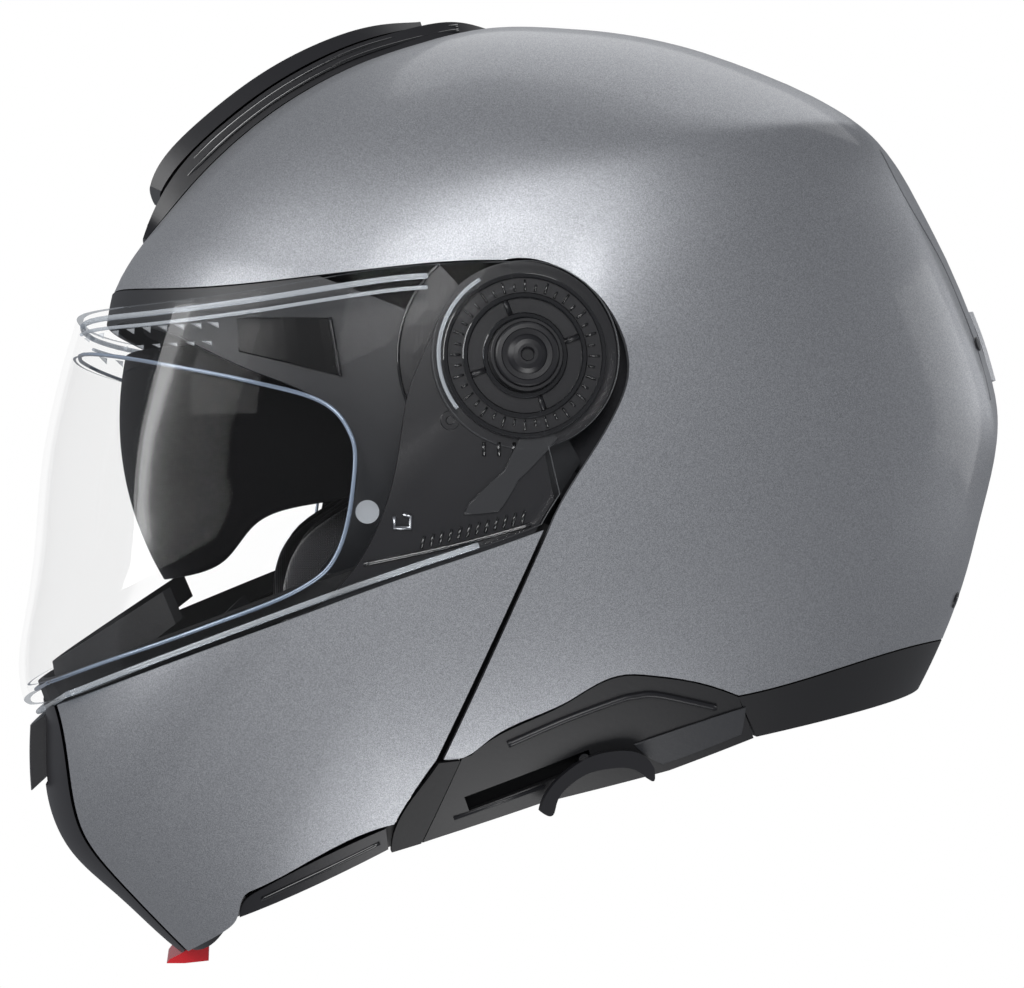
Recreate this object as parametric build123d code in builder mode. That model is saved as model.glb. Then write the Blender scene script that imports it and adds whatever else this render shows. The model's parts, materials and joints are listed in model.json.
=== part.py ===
from build123d import *
import math
import os

os.makedirs("parts", exist_ok=True)

# A modular motorcycle helmet. +X is the wearer's left, -Y the front, +Z up, as it is worn.
# Every large surface is an arch that turns about the hinge axis of the chin bar.
# A table gives the reach of that arch from the axis, at angles that run from straight down,
# through the face and the crown, to the neck. Outlines are shares of helmet_length from the axis.

# Driving sizes, mm
helmet_length = 341.0
temple_half_width = 121.5      # shell under the visor hubs
rear_half_width = 128.0        # shell behind the visor hubs
hinge_forward = 12.655         # hinge axis in front of the middle of the length
hinge_height = 201.87
squareness = 2.4               # power of the arch: 2 is an ellipse
arch_spread = 81.0             # degrees each side of the middle that an arch covers
arch_points = 13
station_step = 6.0             # degrees between lofted arches
overrun = 400.0                # length of every cut that goes right through

# Walls and clearances
shell_wall = 3.5
arm_gap = 1.2                  # shell temple to chin bar arm
arm_wall = 3.0
panel_gap = 0.3                # chin bar frame to its painted panel
panel_wall = 2.4
plate_thickness = 1.2
visor_gap = 1.5                # hinge plate to visor
visor_wall = 2.2
seat_gap = 0.3                 # between fixed neighbours
move_gap = 0.8                 # between pieces that move past each other

hinge = (-hinge_forward, hinge_height)
arm_inner = temple_half_width + arm_gap
arm_outer = arm_inner + arm_wall
chin_half_width = arm_outer + panel_gap + panel_wall
plate_outer = arm_outer + plate_thickness
visor_inner = plate_outer + visor_gap
visor_half_width = visor_inner + visor_wall

# Reach of each surface: angle, share of helmet_length, and how far it has widened to the rear
shell_shares = [
    (93, 0.387, 0), (101, 0.384, 0), (108, 0.374, 0), (117, 0.359, 0), (131, 0.347, 0),
    (145, 0.342, 0), (156, 0.342, 0), (167, 0.345, 0), (180, 0.356, 0.05), (193, 0.367, 0.15),
    (207, 0.390, 0.3), (221, 0.422, 0.55), (231, 0.455, 0.7), (239, 0.478, 0.8), (250, 0.490, 0.93),
    (260, 0.507, 1), (268, 0.526, 1), (275, 0.541, 1), (286, 0.540, 1), (297, 0.548, 1),
    (306, 0.557, 1), (320, 0.575, 1), (340, 0.610, 1), (360, 0.630, 1), (376, 0.639, 1),
]
chin_shares = [
    (-14, 0.663), (10, 0.663), (24, 0.661), (31, 0.647), (36, 0.636), (42, 0.6275),
    (46.5, 0.603), (50, 0.575), (53, 0.551), (60, 0.528), (80, 0.513), (132, 0.499),
]
visor_shares = [
    (-14, 0.580), (30, 0.575), (45, 0.569), (55, 0.563), (67, 0.490), (82, 0.443),
    (96, 0.415), (106, 0.408), (120, 0.405), (170, 0.405),
]


def smooth(rows, angle):
    """The values of a table at an angle, on a smooth curve through its rows."""
    k = 0
    while k < len(rows) - 2 and rows[k + 1][0] < angle:
        k += 1
    before, start = rows[max(k - 1, 0)], rows[k]
    end, after = rows[k + 1], rows[min(k + 2, len(rows) - 1)]
    step = end[0] - start[0]
    t = (angle - start[0]) / step
    values = []
    for i in range(1, len(start)):
        leave = (end[i] - before[i]) / (end[0] - before[0]) * step
        arrive = (after[i] - start[i]) / (after[0] - start[0]) * step
        values.append(
            (2 * t**3 - 3 * t**2 + 1) * start[i] + (t**3 - 2 * t**2 + t) * leave
            + (3 * t**2 - 2 * t**3) * end[i] + (t**3 - t**2) * arrive
        )
    return values


def shell_size(angle):
    """Reach and half width of the outer shell."""
    reach, widened = smooth(shell_shares, angle)
    return reach * helmet_length, temple_half_width + widened * (rear_half_width - temple_half_width)


def chin_size(angle):
    """Reach and half width of the chin bar."""
    return smooth(chin_shares, angle)[0] * helmet_length, chin_half_width


def visor_size(angle):
    """Reach and half width of the visor."""
    return smooth(visor_shares, angle)[0] * helmet_length, visor_half_width


def inset(size, depth):
    """The same arch, drawn in by a depth."""
    return size[0] - depth, size[1] - depth


def arch(size, spread):
    """Points of one arch: across the helmet, and out from the axis."""
    points = []
    for k in range(arch_points):
        turn = math.radians(spread * (2 * k / (arch_points - 1) - 1))
        tall, wide = math.cos(turn) / size[0], abs(math.sin(turn)) / size[1]
        out = (tall**squareness + wide**squareness) ** (-1 / squareness)
        points.append((out * math.sin(turn), out * math.cos(turn)))
    return points


def strip(angle, outer, inner, spread=arch_spread, axis=hinge):
    """The closed section between two arches, standing at an angle about an axis."""
    turn = math.radians(angle)
    plane = Plane(
        origin=(0, axis[0], axis[1]), x_dir=(1, 0, 0), z_dir=(0, math.cos(turn), -math.sin(turn))
    )
    over, under = arch(outer, spread), arch(inner, spread)
    with BuildSketch(plane) as section:
        with BuildLine():
            Spline(*over)
            Line(over[-1], under[-1])
            Spline(*under)
            Line(under[0], over[0])
        make_face()
    return section.sketch


def angles(first, last, step=station_step):
    """Evenly spaced angles, about one step apart."""
    count = max(2, round((last - first) / step) + 1)
    return [first + (last - first) * k / (count - 1) for k in range(count)]


def band(size, first, last, depth, wall, spread=arch_spread, step=station_step):
    """Sections of one wall that follows a surface at a depth."""
    return [
        strip(a, inset(size(a), depth), inset(size(a), depth + wall), spread)
        for a in angles(first, last, step)
    ]


def spot(share, axis=hinge):
    """A place in the side view, from shares of helmet_length counted from an axis."""
    return axis[0] + share[0] * helmet_length, axis[1] + share[1] * helmet_length


def side_face(*runs):
    """A closed outline in the side view. Runs of three or more places are curves, pairs are lines."""
    with BuildSketch(Plane.YZ) as face:
        with BuildLine():
            for run in runs:
                places = [spot(share) for share in run]
                if len(places) > 2:
                    Spline(*places)
                else:
                    Line(*places)
        make_face()
    return face.sketch


def corners(*shares):
    """Lines through places, as runs of an outline."""
    return list(zip(shares, shares[1:]))


def drawn_in(shares, depth_share):
    """Places moved towards the hinge axis."""
    factors = [1 - depth_share / math.hypot(y, z) for y, z in shares]
    return [(y * f, z * f) for (y, z), f in zip(shares, factors)]


def hub_plane(across, side=1):
    """A plane square to the hinge axis, on one side of the helmet, that faces outwards."""
    return Plane(origin=(side * across, *hinge), x_dir=(0, 1, 0), z_dir=(side, 0, 0))


# Side-view outlines that several pieces share
brow_shares = [
    (-0.378, 0.084), (-0.283, 0.068), (-0.194, 0.072), (-0.125, 0.079), (-0.072, 0.084), (-0.016, 0.086),
]
pod_shares = [
    (-0.016, 0.086), (0.016, 0.086), (0.040, 0.076), (0.066, 0.055), (0.084, 0.027), (0.092, 0.001),
    (0.092, -0.019), (0.084, -0.043), (0.053, -0.096), (0.022, -0.152),
]
gap_shares = [(0.022, -0.152), (-0.067, -0.357)]
shell_foot_shares = [
    (-0.067, -0.357), (-0.043, -0.352), (-0.027, -0.339), (0.041, -0.306), (0.072, -0.288),
    (0.092, -0.282), (0.118, -0.283), (0.157, -0.289), (0.204, -0.304),
]
neck_edge_shares = [(0.204, -0.304), (0.271, -0.291), (0.346, -0.274), (0.482, -0.267)]

# Outer shell: painted laminate, open at the face and the neck
shell_cut_shares = [(0.60, -0.262), (0.60, -0.80), (-0.60, -0.80), (-0.60, 0.130)]
with BuildPart() as outer_shell:
    loft(band(shell_size, 93, 376, 0, shell_wall))
    extrude(
        side_face(
            brow_shares,
            pod_shares,
            gap_shares,
            shell_foot_shares,
            neck_edge_shares,
            *corners(neck_edge_shares[-1], *shell_cut_shares, brow_shares[0]),
        ),
        amount=overrun,
        both=True,
        mode=Mode.SUBTRACT,
    )

# Eye port frame: one black moulding round the brow and down both temples, under the hubs
frame_reach_share = 0.384
frame_wall = 3.0
frame_half_width = temple_half_width - seat_gap
hub_floor_radius = 28.8
hinge_bore_radius = 8.0
edge_share = 0.0016            # seat gap of the frame below the shell's edge


def frame_size(angle):
    """Reach and half width of the eye port frame."""
    return frame_reach_share * helmet_length - seat_gap, frame_half_width


eye_edge_shares = [
    (-0.175, -0.189), (-0.154, -0.153), (-0.144, -0.100), (-0.151, -0.065), (-0.177, -0.038),
    (-0.238, -0.010), (-0.300, 0.022), (-0.378, 0.052),
]
frame_foot_shares = [(-0.020, -0.215), (-0.100, -0.215)]
frame_cut_shares = [(-0.60, 0.08), (-0.60, 0.128)]
brow_seat_shares = [(y, z - edge_share) for y, z in brow_shares]
pod_seat_shares = [brow_seat_shares[-1], *drawn_in(pod_shares[1:], edge_share)]
with BuildPart() as eyeport_frame:
    loft(band(frame_size, -30, 112, 0, frame_wall))
    for side in (1, -1):
        with BuildSketch(hub_plane(frame_half_width - frame_wall, side)):
            Circle(hub_floor_radius)
        extrude(amount=frame_wall)
    extrude(
        side_face(
            brow_seat_shares,
            pod_seat_shares,
            *corners(pod_seat_shares[-1], *frame_foot_shares, eye_edge_shares[0]),
            eye_edge_shares,
            *corners(eye_edge_shares[-1], *frame_cut_shares, brow_seat_shares[0]),
        ),
        amount=overrun,
        both=True,
        mode=Mode.INTERSECT,
    )
    with BuildSketch(Plane.YZ):
        with Locations(hinge):
            Circle(hinge_bore_radius)
    extrude(amount=overrun, both=True, mode=Mode.SUBTRACT)

# Chin bar frame: black structural moulding, one piece from the chin up both arms to the hubs
frame_depth = panel_wall + panel_gap
hub_radius = 28.0
chin_top_shares = [
    (-0.418, -0.320), (-0.373, -0.299), (-0.282, -0.261), (-0.195, -0.228), (-0.109, -0.196),
    (-0.040, -0.173), (0.0165, -0.153),
]
chin_rear_shares = [(0.0165, -0.153), (-0.0745, -0.357), (-0.093, -0.385), (-0.110, -0.416)]
chin_front_shares = [
    (-0.418, -0.320), (-0.404, -0.379), (-0.391, -0.441), (-0.368, -0.477), (-0.331, -0.521),
    (-0.295, -0.562),
]
bar_top_shares = [(-0.418, -0.323), (-0.373, -0.302), (-0.282, -0.264), (-0.195, -0.231)]
arm_front_shares = [
    (-0.195, -0.231), (-0.150, -0.190), (-0.120, -0.130), (-0.1075, -0.070), (-0.100, -0.028),
    (-0.089, 0), (-0.078, 0.026), (-0.0600, 0.0558), (-0.0380, 0.0727), (-0.016, 0.0812),
]
arm_rear_shares = [(0.0125, -0.150), (-0.0785, -0.355)]
arm_low_shares = [(-0.0785, -0.355), (-0.097, -0.385), (-0.114, -0.413)]
bar_low_shares = [(-0.114, -0.413), (-0.160, -0.430), (-0.238, -0.475), (-0.252, -0.510), (-0.300, -0.572)]
bar_cut_shares = [(-0.330, -0.610), (-0.62, -0.610), (-0.62, -0.326)]
hub_shares = [
    (-0.016, 0.0812), (0.016, 0.0812), (0.038, 0.0735), (0.060, 0.057), (0.077, 0.030), (0.0828, 0.001),
    (0.0835, -0.019), (0.076, -0.045), (0.047, -0.0965), (0.0125, -0.150),
]
chin_first, chin_last = -12, 130
with BuildPart() as chin_bar_frame:
    loft(band(chin_size, chin_first, chin_last, frame_depth, arm_wall))
    for side in (1, -1):
        with BuildSketch(hub_plane(arm_inner, side)):
            Circle(hub_radius)
        extrude(amount=arm_wall)
    extrude(
        side_face(
            bar_top_shares,
            arm_front_shares,
            hub_shares,
            arm_rear_shares,
            arm_low_shares,
            bar_low_shares,
            *corners(bar_low_shares[-1], *bar_cut_shares, bar_top_shares[0]),
        ),
        amount=overrun,
        both=True,
        mode=Mode.INTERSECT,
    )
    with BuildSketch(Plane.YZ):
        with Locations(hinge):
            Circle(hinge_bore_radius)
    extrude(amount=overrun, both=True, mode=Mode.SUBTRACT)

# Painted side panels of the chin bar, one each side of the centre vent
panel_low_shares = [(-0.110, -0.416), (-0.116, -0.4175), (-0.193, -0.457), (-0.234, -0.482)]
panel_toe_shares = [
    (-0.234, -0.482), (-0.243, -0.490), (-0.249, -0.514), (-0.262, -0.530), (-0.295, -0.562),
]
with BuildPart() as chin_panel_left:
    loft(band(chin_size, chin_first, chin_last, 0, panel_wall))
    extrude(
        side_face(
            chin_top_shares,
            chin_rear_shares[:2],
            chin_rear_shares[1:],
            panel_low_shares,
            panel_toe_shares,
            chin_front_shares[::-1],
        ),
        amount=overrun,
        mode=Mode.INTERSECT,
    )

# Black lower inserts under the rear half of each panel
insert_depth = 0.6
insert_wall = 5.0
insert_top_shares = [(-0.117, -0.4205), (-0.193, -0.4600), (-0.232, -0.4850)]
insert_front_shares = [(-0.232, -0.4850), (-0.2405, -0.493), (-0.2460, -0.512)]
insert_low_shares = [(-0.2460, -0.512), (-0.166, -0.469), (-0.114, -0.440)]
with BuildPart() as chin_insert_left:
    loft(band(chin_size, 8, 34, insert_depth, insert_wall))
    extrude(
        side_face(
            insert_top_shares,
            insert_front_shares,
            insert_low_shares,
            *corners(insert_low_shares[-1], insert_top_shares[0]),
        ),
        amount=overrun,
        mode=Mode.INTERSECT,
    )

# Centre piece of the chin with its intake, and the flap that closes the intake
flap_proud = 6.0
flap_wall = 6.6
flap_spread = 9.0
flap_first, flap_last = 47.6, 52.4
flap_step = 2.0
intake_margin = 0.6            # degrees of opening beyond the flap all round
housing_edge_shares = [
    (-0.4215, -0.322), (-0.4075, -0.379), (-0.3945, -0.441), (-0.3715, -0.477), (-0.3345, -0.521),
    (-0.2985, -0.562),
]
housing_cut_shares = [(-0.310, -0.600), (-0.62, -0.600), (-0.62, -0.322)]
with BuildPart() as chin_vent_housing:
    loft(band(chin_size, chin_first, chin_last, 0, panel_wall))
    extrude(
        side_face(
            housing_edge_shares,
            *corners(housing_edge_shares[-1], *housing_cut_shares, housing_edge_shares[0]),
        ),
        amount=overrun,
        both=True,
        mode=Mode.INTERSECT,
    )
    loft(
        band(
            chin_size, flap_first - intake_margin, flap_last + intake_margin, -flap_wall,
            2 * flap_wall, flap_spread + intake_margin, flap_step,
        ),
        mode=Mode.SUBTRACT,
    )
with BuildPart() as chin_vent_flap:
    loft(band(chin_size, flap_first, flap_last, -flap_proud, flap_wall, flap_spread, flap_step))

# Impact foam of the chin, rubber breath guard over it and cloth curtain under it
chin_foam_gap = 1.0
chin_foam_wall = 18.0
with BuildPart() as chin_foam:
    loft(band(chin_size, 31, 46, frame_depth + arm_wall + chin_foam_gap, chin_foam_wall, 38, 3))
guard_depth = 6.2
guard_wall = 3.0
with BuildPart() as breath_guard:
    loft(band(chin_size, 52, 56.5, guard_depth, guard_wall, 36))
curtain_shares = [(18, 0.500, 0.260), (22, 0.565, 0.300), (26, 0.612, 0.335), (30, 0.6305, 0.3585)]
curtain_wall = 2.0
curtain_cut_shares = [(-0.62, -0.345), (0.20, -0.345), (0.20, 0.20), (-0.62, 0.20), (-0.62, -0.345)]


def curtain_size(angle):
    """Reach and half width of the curtain under the chin."""
    reach, wide = smooth(curtain_shares, angle)
    return reach * helmet_length, wide * helmet_length


with BuildPart() as chin_curtain:
    loft(band(curtain_size, 18, 30, 0, curtain_wall, 34, 4))
    extrude(
        side_face(*corners(*curtain_cut_shares)),
        amount=overrun,
        both=True,
        mode=Mode.SUBTRACT,
    )

# Round steel hinge plates on the arms
plate_radius = 24.8
with BuildPart() as hinge_plate_left:
    with BuildSketch(hub_plane(arm_outer)):
        Circle(plate_radius)
        Circle(hinge_bore_radius, mode=Mode.SUBTRACT)
    extrude(amount=plate_thickness)

# Hinge bushes fixed in the frame, and the dome screws that hold the visor hubs on them
bush_flange_radius = 13.0
bush_flange = 3.0
bush_radius = hinge_bore_radius - seat_gap
screw_radius = 4.0
screw_clearance = 0.35
head_radius = 9.4
head_height = 2.2
bush_inner = frame_half_width - frame_wall - seat_gap - bush_flange
bush_outer = visor_half_width + seat_gap
with BuildPart() as hinge_bush_left:
    with BuildSketch(hub_plane(bush_inner)):
        Circle(bush_flange_radius)
    extrude(amount=bush_flange)
    with BuildSketch(hub_plane(bush_inner)):
        Circle(bush_radius)
    extrude(amount=bush_outer - bush_inner)
    with BuildSketch(hub_plane(bush_inner)):
        Circle(screw_radius + screw_clearance)
    extrude(amount=bush_outer - bush_inner, mode=Mode.SUBTRACT)
with BuildPart() as hinge_screw_left:
    with BuildSketch(hub_plane(bush_inner)):
        Circle(screw_radius)
    extrude(amount=bush_outer + seat_gap - bush_inner)
    with BuildSketch(hub_plane(bush_outer + seat_gap)):
        Circle(head_radius)
    extrude(amount=head_height)
    fillet(hinge_screw_left.edges().sort_by(Axis.X)[-1], head_height / 2)

# Visor: clear injection-moulded shield that reaches round both hubs
visor_rear_shares = [*hub_shares[:-1], (0.014, -0.148)]
visor_top_shares = [
    (-0.411, 0.056), (-0.328, 0.052), (-0.238, 0.058), (-0.127, 0.074), (-0.075, 0.0785),
    (-0.016, 0.0812),
]
visor_foot_shares = [
    (0.014, -0.148), (-0.040, -0.1685), (-0.109, -0.1915), (-0.195, -0.2225), (-0.326, -0.274),
    (-0.412, -0.311), (-0.446, -0.322),
]
visor_cut_shares = [(-0.62, -0.330), (-0.62, 0.063)]
with BuildPart() as visor:
    loft(band(visor_size, -14, 170, 0, visor_wall))
    for side in (1, -1):
        with BuildSketch(hub_plane(visor_inner, side)):
            Circle(hub_radius)
        extrude(amount=visor_wall)
    extrude(
        side_face(
            visor_top_shares,
            visor_rear_shares,
            visor_foot_shares,
            *corners(visor_foot_shares[-1], *visor_cut_shares, visor_top_shares[0]),
        ),
        amount=overrun,
        both=True,
        mode=Mode.INTERSECT,
    )
    with BuildSketch(Plane.YZ):
        with Locations(hinge):
            Circle(hinge_bore_radius)
    extrude(amount=overrun, both=True, mode=Mode.SUBTRACT)

# Anti-fog lens inside the visor, and the two pins that hold it
lens_gap = 0.5
lens_wall = 1.0
lens_shares = [
    (-0.430, 0.020), (-0.318, -0.0025), (-0.238, -0.0215), (-0.178, -0.040), (-0.153, -0.066),
    (-0.148, -0.101), (-0.161, -0.170), (-0.195, -0.205), (-0.282, -0.241), (-0.372, -0.275),
    (-0.460, -0.310),
]
lens_cut_shares = [(-0.62, -0.330), (-0.62, 0.02)]
with BuildPart() as anti_fog_lens:
    loft(band(visor_size, 42, 98, visor_wall + lens_gap, lens_wall, 76))
    extrude(
        side_face(
            lens_shares,
            *corners(lens_shares[-1], *lens_cut_shares, lens_shares[0]),
        ),
        amount=overrun,
        both=True,
        mode=Mode.INTERSECT,
    )
pin_share = (-0.137, -0.137)
pin_radius = 3.5
pin_height = 3.4
pin_outer = visor_inner - 5.05
with BuildPart() as lens_pins:
    with BuildSketch(Plane.YZ.offset(pin_outer - pin_height)):
        with Locations(spot(pin_share)):
            Circle(pin_radius)
    extrude(amount=pin_height)
    mirror(about=Plane.YZ)

# Sun visor: smoked shield on its own pins, in front of and under the hubs
sun_axis_share = (-0.047, -0.041)
sun_axis = spot(sun_axis_share)
sun_reach_share = 0.320
sun_half_width = 100.0
sun_wall = 2.2
sun_boss_radius = 13.0
sun_bore_radius = 3.0
sun_size = (sun_reach_share * helmet_length, sun_half_width)
sun_edge_shares = [
    (-0.358, -0.216), (-0.304, -0.200), (-0.260, -0.182), (-0.233, -0.149), (-0.160, -0.126),
    (-0.100, -0.100), (-0.060, -0.079), (-0.020, -0.074), (-0.008, -0.041), (-0.030, -0.004),
    (-0.070, -0.001), (-0.120, 0.006), (-0.200, 0.014), (-0.300, 0.020),
]
sun_cut_shares = [(-0.62, 0.020), (-0.62, -0.222)]
with BuildPart() as sun_visor:
    loft([strip(a, sun_size, inset(sun_size, sun_wall), 83, sun_axis) for a in angles(46, 104)])
    for side in (1, -1):
        with BuildSketch(Plane.YZ.offset(side * (sun_half_width - sun_wall / 2))):
            with Locations(sun_axis):
                Circle(sun_boss_radius)
        extrude(amount=sun_wall / 2, both=True)
    extrude(
        side_face(
            sun_edge_shares,
            *corners(sun_edge_shares[-1], *sun_cut_shares, sun_edge_shares[0]),
        ),
        amount=overrun,
        both=True,
        mode=Mode.INTERSECT,
    )
    with BuildSketch(Plane.YZ):
        with Locations(sun_axis):
            Circle(sun_bore_radius)
    extrude(amount=overrun, both=True, mode=Mode.SUBTRACT)
sun_pin_radius = sun_bore_radius - seat_gap
sun_pin_head = 5.5
sun_pin_head_height = 1.6
sun_pin_outer = frame_half_width - frame_wall - 1.6
sun_pin_inner = sun_half_width - sun_wall - move_gap - sun_pin_head_height
with BuildPart() as sun_visor_pins:
    with BuildSketch(Plane.YZ.offset(sun_pin_inner)):
        with Locations(sun_axis):
            Circle(sun_pin_radius)
    extrude(amount=sun_pin_outer - sun_pin_inner)
    with BuildSketch(Plane.YZ.offset(sun_pin_inner)):
        with Locations(sun_axis):
            Circle(sun_pin_head)
    extrude(amount=sun_pin_head_height)
    mirror(about=Plane.YZ)

# Impact foam of the crown, with room over the brow for the sun visor when it is up
foam_gap = 0.8
relief_shares = [
    (98, 0.0265, 0.0806), (106, 0.0275, 0.0806), (115, 0.022, 0.0806), (130, 0.022, 0.0806),
    (140, 0.0265, 0.077), (155, 0.0045, 0.062), (170, 0, 0.042), (185, 0, 0.026), (200, 0, 0.030),
    (240, 0, 0.0235), (376, 0, 0.0235),
]
head_shares = [
    (98, 0.293, 0.235), (115, 0.276, 0.236), (130, 0.264, 0.238), (155, 0.252, 0.242),
    (180, 0.258, 0.246), (207, 0.290, 0.250), (221, 0.325, 0.254), (239, 0.375, 0.258),
    (260, 0.410, 0.260), (275, 0.446, 0.262), (300, 0.455, 0.264), (320, 0.440, 0.264),
    (340, 0.410, 0.264), (376, 0.380, 0.264),
]


def foam_size(angle):
    """Reach and half width of the outside of the crown foam."""
    reach, wide = inset(shell_size(angle), shell_wall + foam_gap)
    low, narrow = smooth(relief_shares, angle)
    return reach - low * helmet_length, wide - narrow * helmet_length


def head_size(angle):
    """Reach and half width of the inside of the crown foam."""
    reach, wide = smooth(head_shares, angle)
    return reach * helmet_length, wide * helmet_length


foam_foot_shares = [(0.060, -0.262), (0.120, -0.262), (0.204, -0.262), (0.346, -0.240), (0.62, -0.215)]
foam_cut_shares = [(0.62, -0.80), (-0.62, -0.80), (-0.62, -0.100), (0.100, -0.100)]
with BuildPart() as crown_foam:
    loft([strip(a, foam_size(a), head_size(a)) for a in angles(98, 350)])
    extrude(
        side_face(
            foam_foot_shares,
            *corners(foam_foot_shares[-1], *foam_cut_shares, foam_foot_shares[0]),
        ),
        amount=overrun,
        both=True,
        mode=Mode.SUBTRACT,
    )

# Comfort lining: crown pad, and cheek pads on their own foam blocks
pad_gap = 0.4
crown_pad_wall = 8.0
with BuildPart() as crown_pad:
    loft(
        [
            strip(a, inset(head_size(a), pad_gap), inset(head_size(a), pad_gap + crown_pad_wall), 58)
            for a in angles(112, 262)
        ]
    )
cheek_shares = [
    (-0.130, -0.120), (-0.020, -0.085), (0.045, -0.105), (0.062, -0.180), (0.045, -0.255), (0, -0.298),
    (-0.055, -0.312), (-0.105, -0.325), (-0.170, -0.295), (-0.205, -0.230), (-0.185, -0.160),
]
cheek_inner = 55.0
cheek_wall = 24.0
cheek_gap = 0.4
cheek_foam_wall = 14.0
cheek_foam_shares = [
    (-0.120, -0.150), (-0.020, -0.130), (0.088, -0.132), (0.0565, -0.264), (0, -0.285), (-0.060, -0.295),
    (-0.110, -0.285), (-0.150, -0.230),
]
with BuildPart() as cheek_pad_left:
    with BuildSketch(Plane.YZ.offset(cheek_inner)):
        with BuildLine():
            Spline(*[spot(share) for share in cheek_shares], periodic=True)
        make_face()
    extrude(amount=cheek_wall)
    fillet(cheek_pad_left.edges().sort_by(Axis.X)[0], cheek_wall / 3)
with BuildPart() as cheek_foam_left:
    with BuildSketch(Plane.YZ.offset(cheek_inner + cheek_wall + cheek_gap)):
        with BuildLine():
            Polyline(*[spot(share) for share in cheek_foam_shares], close=True)
        make_face()
    extrude(amount=cheek_foam_wall)

# Black trims of the lower edge
trim_wall = 5.0
trim_top_shares = [(y, z - edge_share) for y, z in neck_edge_shares]
trim_end_shares = [(0.62, -0.264)]
trim_low_shares = [(0.62, -0.308), (0.469, -0.312), (0.346, -0.326), (0.226, -0.344)]
with BuildPart() as neck_trim:
    loft(band(shell_size, 294, 340, 0, trim_wall))
    extrude(
        side_face(
            trim_top_shares,
            *corners(trim_top_shares[-1], *trim_end_shares, trim_low_shares[0]),
            trim_low_shares,
            *corners(trim_low_shares[-1], trim_top_shares[0]),
        ),
        amount=overrun,
        both=True,
        mode=Mode.INTERSECT,
    )
roll_wall = 20.0
roll_top_shares = [(0.165, -0.272), (0.204, -0.272), (0.346, -0.250), (0.62, -0.225)]
roll_foot_shares = [(0.62, -0.290), (0.469, -0.296), (0.346, -0.308), (0.250, -0.319), (0.165, -0.325)]
with BuildPart() as neck_roll:
    loft(band(shell_size, 272, 346, trim_wall + seat_gap + pad_gap, roll_wall))
    extrude(
        side_face(
            roll_top_shares,
            *corners(roll_top_shares[-1], roll_foot_shares[0]),
            roll_foot_shares,
            *corners(roll_foot_shares[-1], roll_top_shares[0]),
        ),
        amount=overrun,
        both=True,
        mode=Mode.INTERSECT,
    )
cover_wall = 4.5
slot_width = 4.8
slot_shares = [(-0.045, -0.3985), (0.066, -0.3565)]
cover_low_shares = [
    (0.223, -0.345), (0.141, -0.372), (0.023, -0.399), (-0.066, -0.429), (-0.083, -0.435),
    (-0.0505, -0.3555),
]
cover_top_shares = [(y, z - edge_share) for y, z in shell_foot_shares[1:]]


def side_cover():
    """Outline of the cover under the shell's foot."""
    return side_face(
        cover_top_shares, *corners(cover_top_shares[-1], *cover_low_shares, cover_top_shares[0])
    )


with BuildPart() as side_cover_left:
    loft(band(shell_size, 322, 376, 0, cover_wall))
    extrude(side_cover(), amount=overrun, mode=Mode.INTERSECT)
with BuildPart() as side_cover_right:
    mirror(side_cover_left.part, about=Plane.YZ)
with side_cover_left:
    with BuildSketch(Plane.YZ):
        with BuildLine():
            Line(spot(slot_shares[0]), spot(slot_shares[1]))
        trace(line_width=slot_width)
    extrude(amount=overrun, mode=Mode.SUBTRACT)
strip_proud = 0.8
strip_front_shares = [(-0.1105, -0.4440), (-0.1070, -0.4180), (-0.0898, -0.3870), (-0.0715, -0.3600)]
strip_rear_shares = [(-0.0715, -0.3600), (-0.0525, -0.3580), (-0.0845, -0.4355), (-0.1105, -0.4440)]
with BuildPart() as edge_strip_left:
    loft(band(shell_size, 340, 376, -strip_proud, trim_wall))
    extrude(
        side_face(strip_front_shares, *corners(*strip_rear_shares)),
        amount=overrun,
        mode=Mode.INTERSECT,
    )

# Sun visor slider on the left cover: finger lever with a stem through the slot
lever_inner = 112.4
lever_wall = 4.0
stem_radius = 1.7
stem_length = 9.0
stem_share = (0.060, -0.3588)
lever_shares = [
    (0.018, -0.403), (0.027, -0.383), (0.045, -0.366), (0.062, -0.356), (0.082, -0.351),
    (0.110, -0.354), (0.121, -0.366),
]
lever_under_shares = [
    (0.121, -0.366), (0.120, -0.378), (0.108, -0.370), (0.082, -0.366), (0.062, -0.370), (0.044, -0.381),
    (0.033, -0.396), (0.030, -0.406), (0.018, -0.403),
]
with BuildPart() as sun_slider:
    extrude(side_face(lever_shares, lever_under_shares), amount=lever_inner + lever_wall)
    with BuildSketch(Plane.YZ):
        Rectangle(overrun, overrun)
    extrude(amount=lever_inner, mode=Mode.SUBTRACT)
    with BuildSketch(Plane.YZ.offset(lever_inner)):
        with Locations(spot(stem_share)):
            Circle(stem_radius)
    extrude(amount=-stem_length)

# Latches of the chin bar: striker pins in the shell, hooks on the frame, red release tab
striker_share = (-0.0115, -0.328)
striker_radius = 3.0
striker_outer = 108.0
striker_length = 12.0
striker_plate = 18.0
striker_plate_wall = 2.2
with BuildPart() as striker_pins:
    with BuildSketch(Plane.YZ.offset(striker_outer)):
        with Locations(spot(striker_share)):
            RectangleRounded(striker_plate, striker_plate, striker_plate / 6)
    extrude(amount=-striker_plate_wall)
    with BuildSketch(Plane.YZ.offset(striker_outer)):
        with Locations(spot(striker_share)):
            Circle(striker_radius)
    extrude(amount=-striker_plate_wall - striker_length)
    mirror(about=Plane.YZ)
hook_axis_share = (-0.0738, -0.3196)
hook_outer = striker_outer - striker_plate_wall - move_gap
hook_wall = 4.0
hook_bore_radius = 2.9
hook_pin_radius = hook_bore_radius - seat_gap
hook_pin_outer = 111.0
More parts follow.
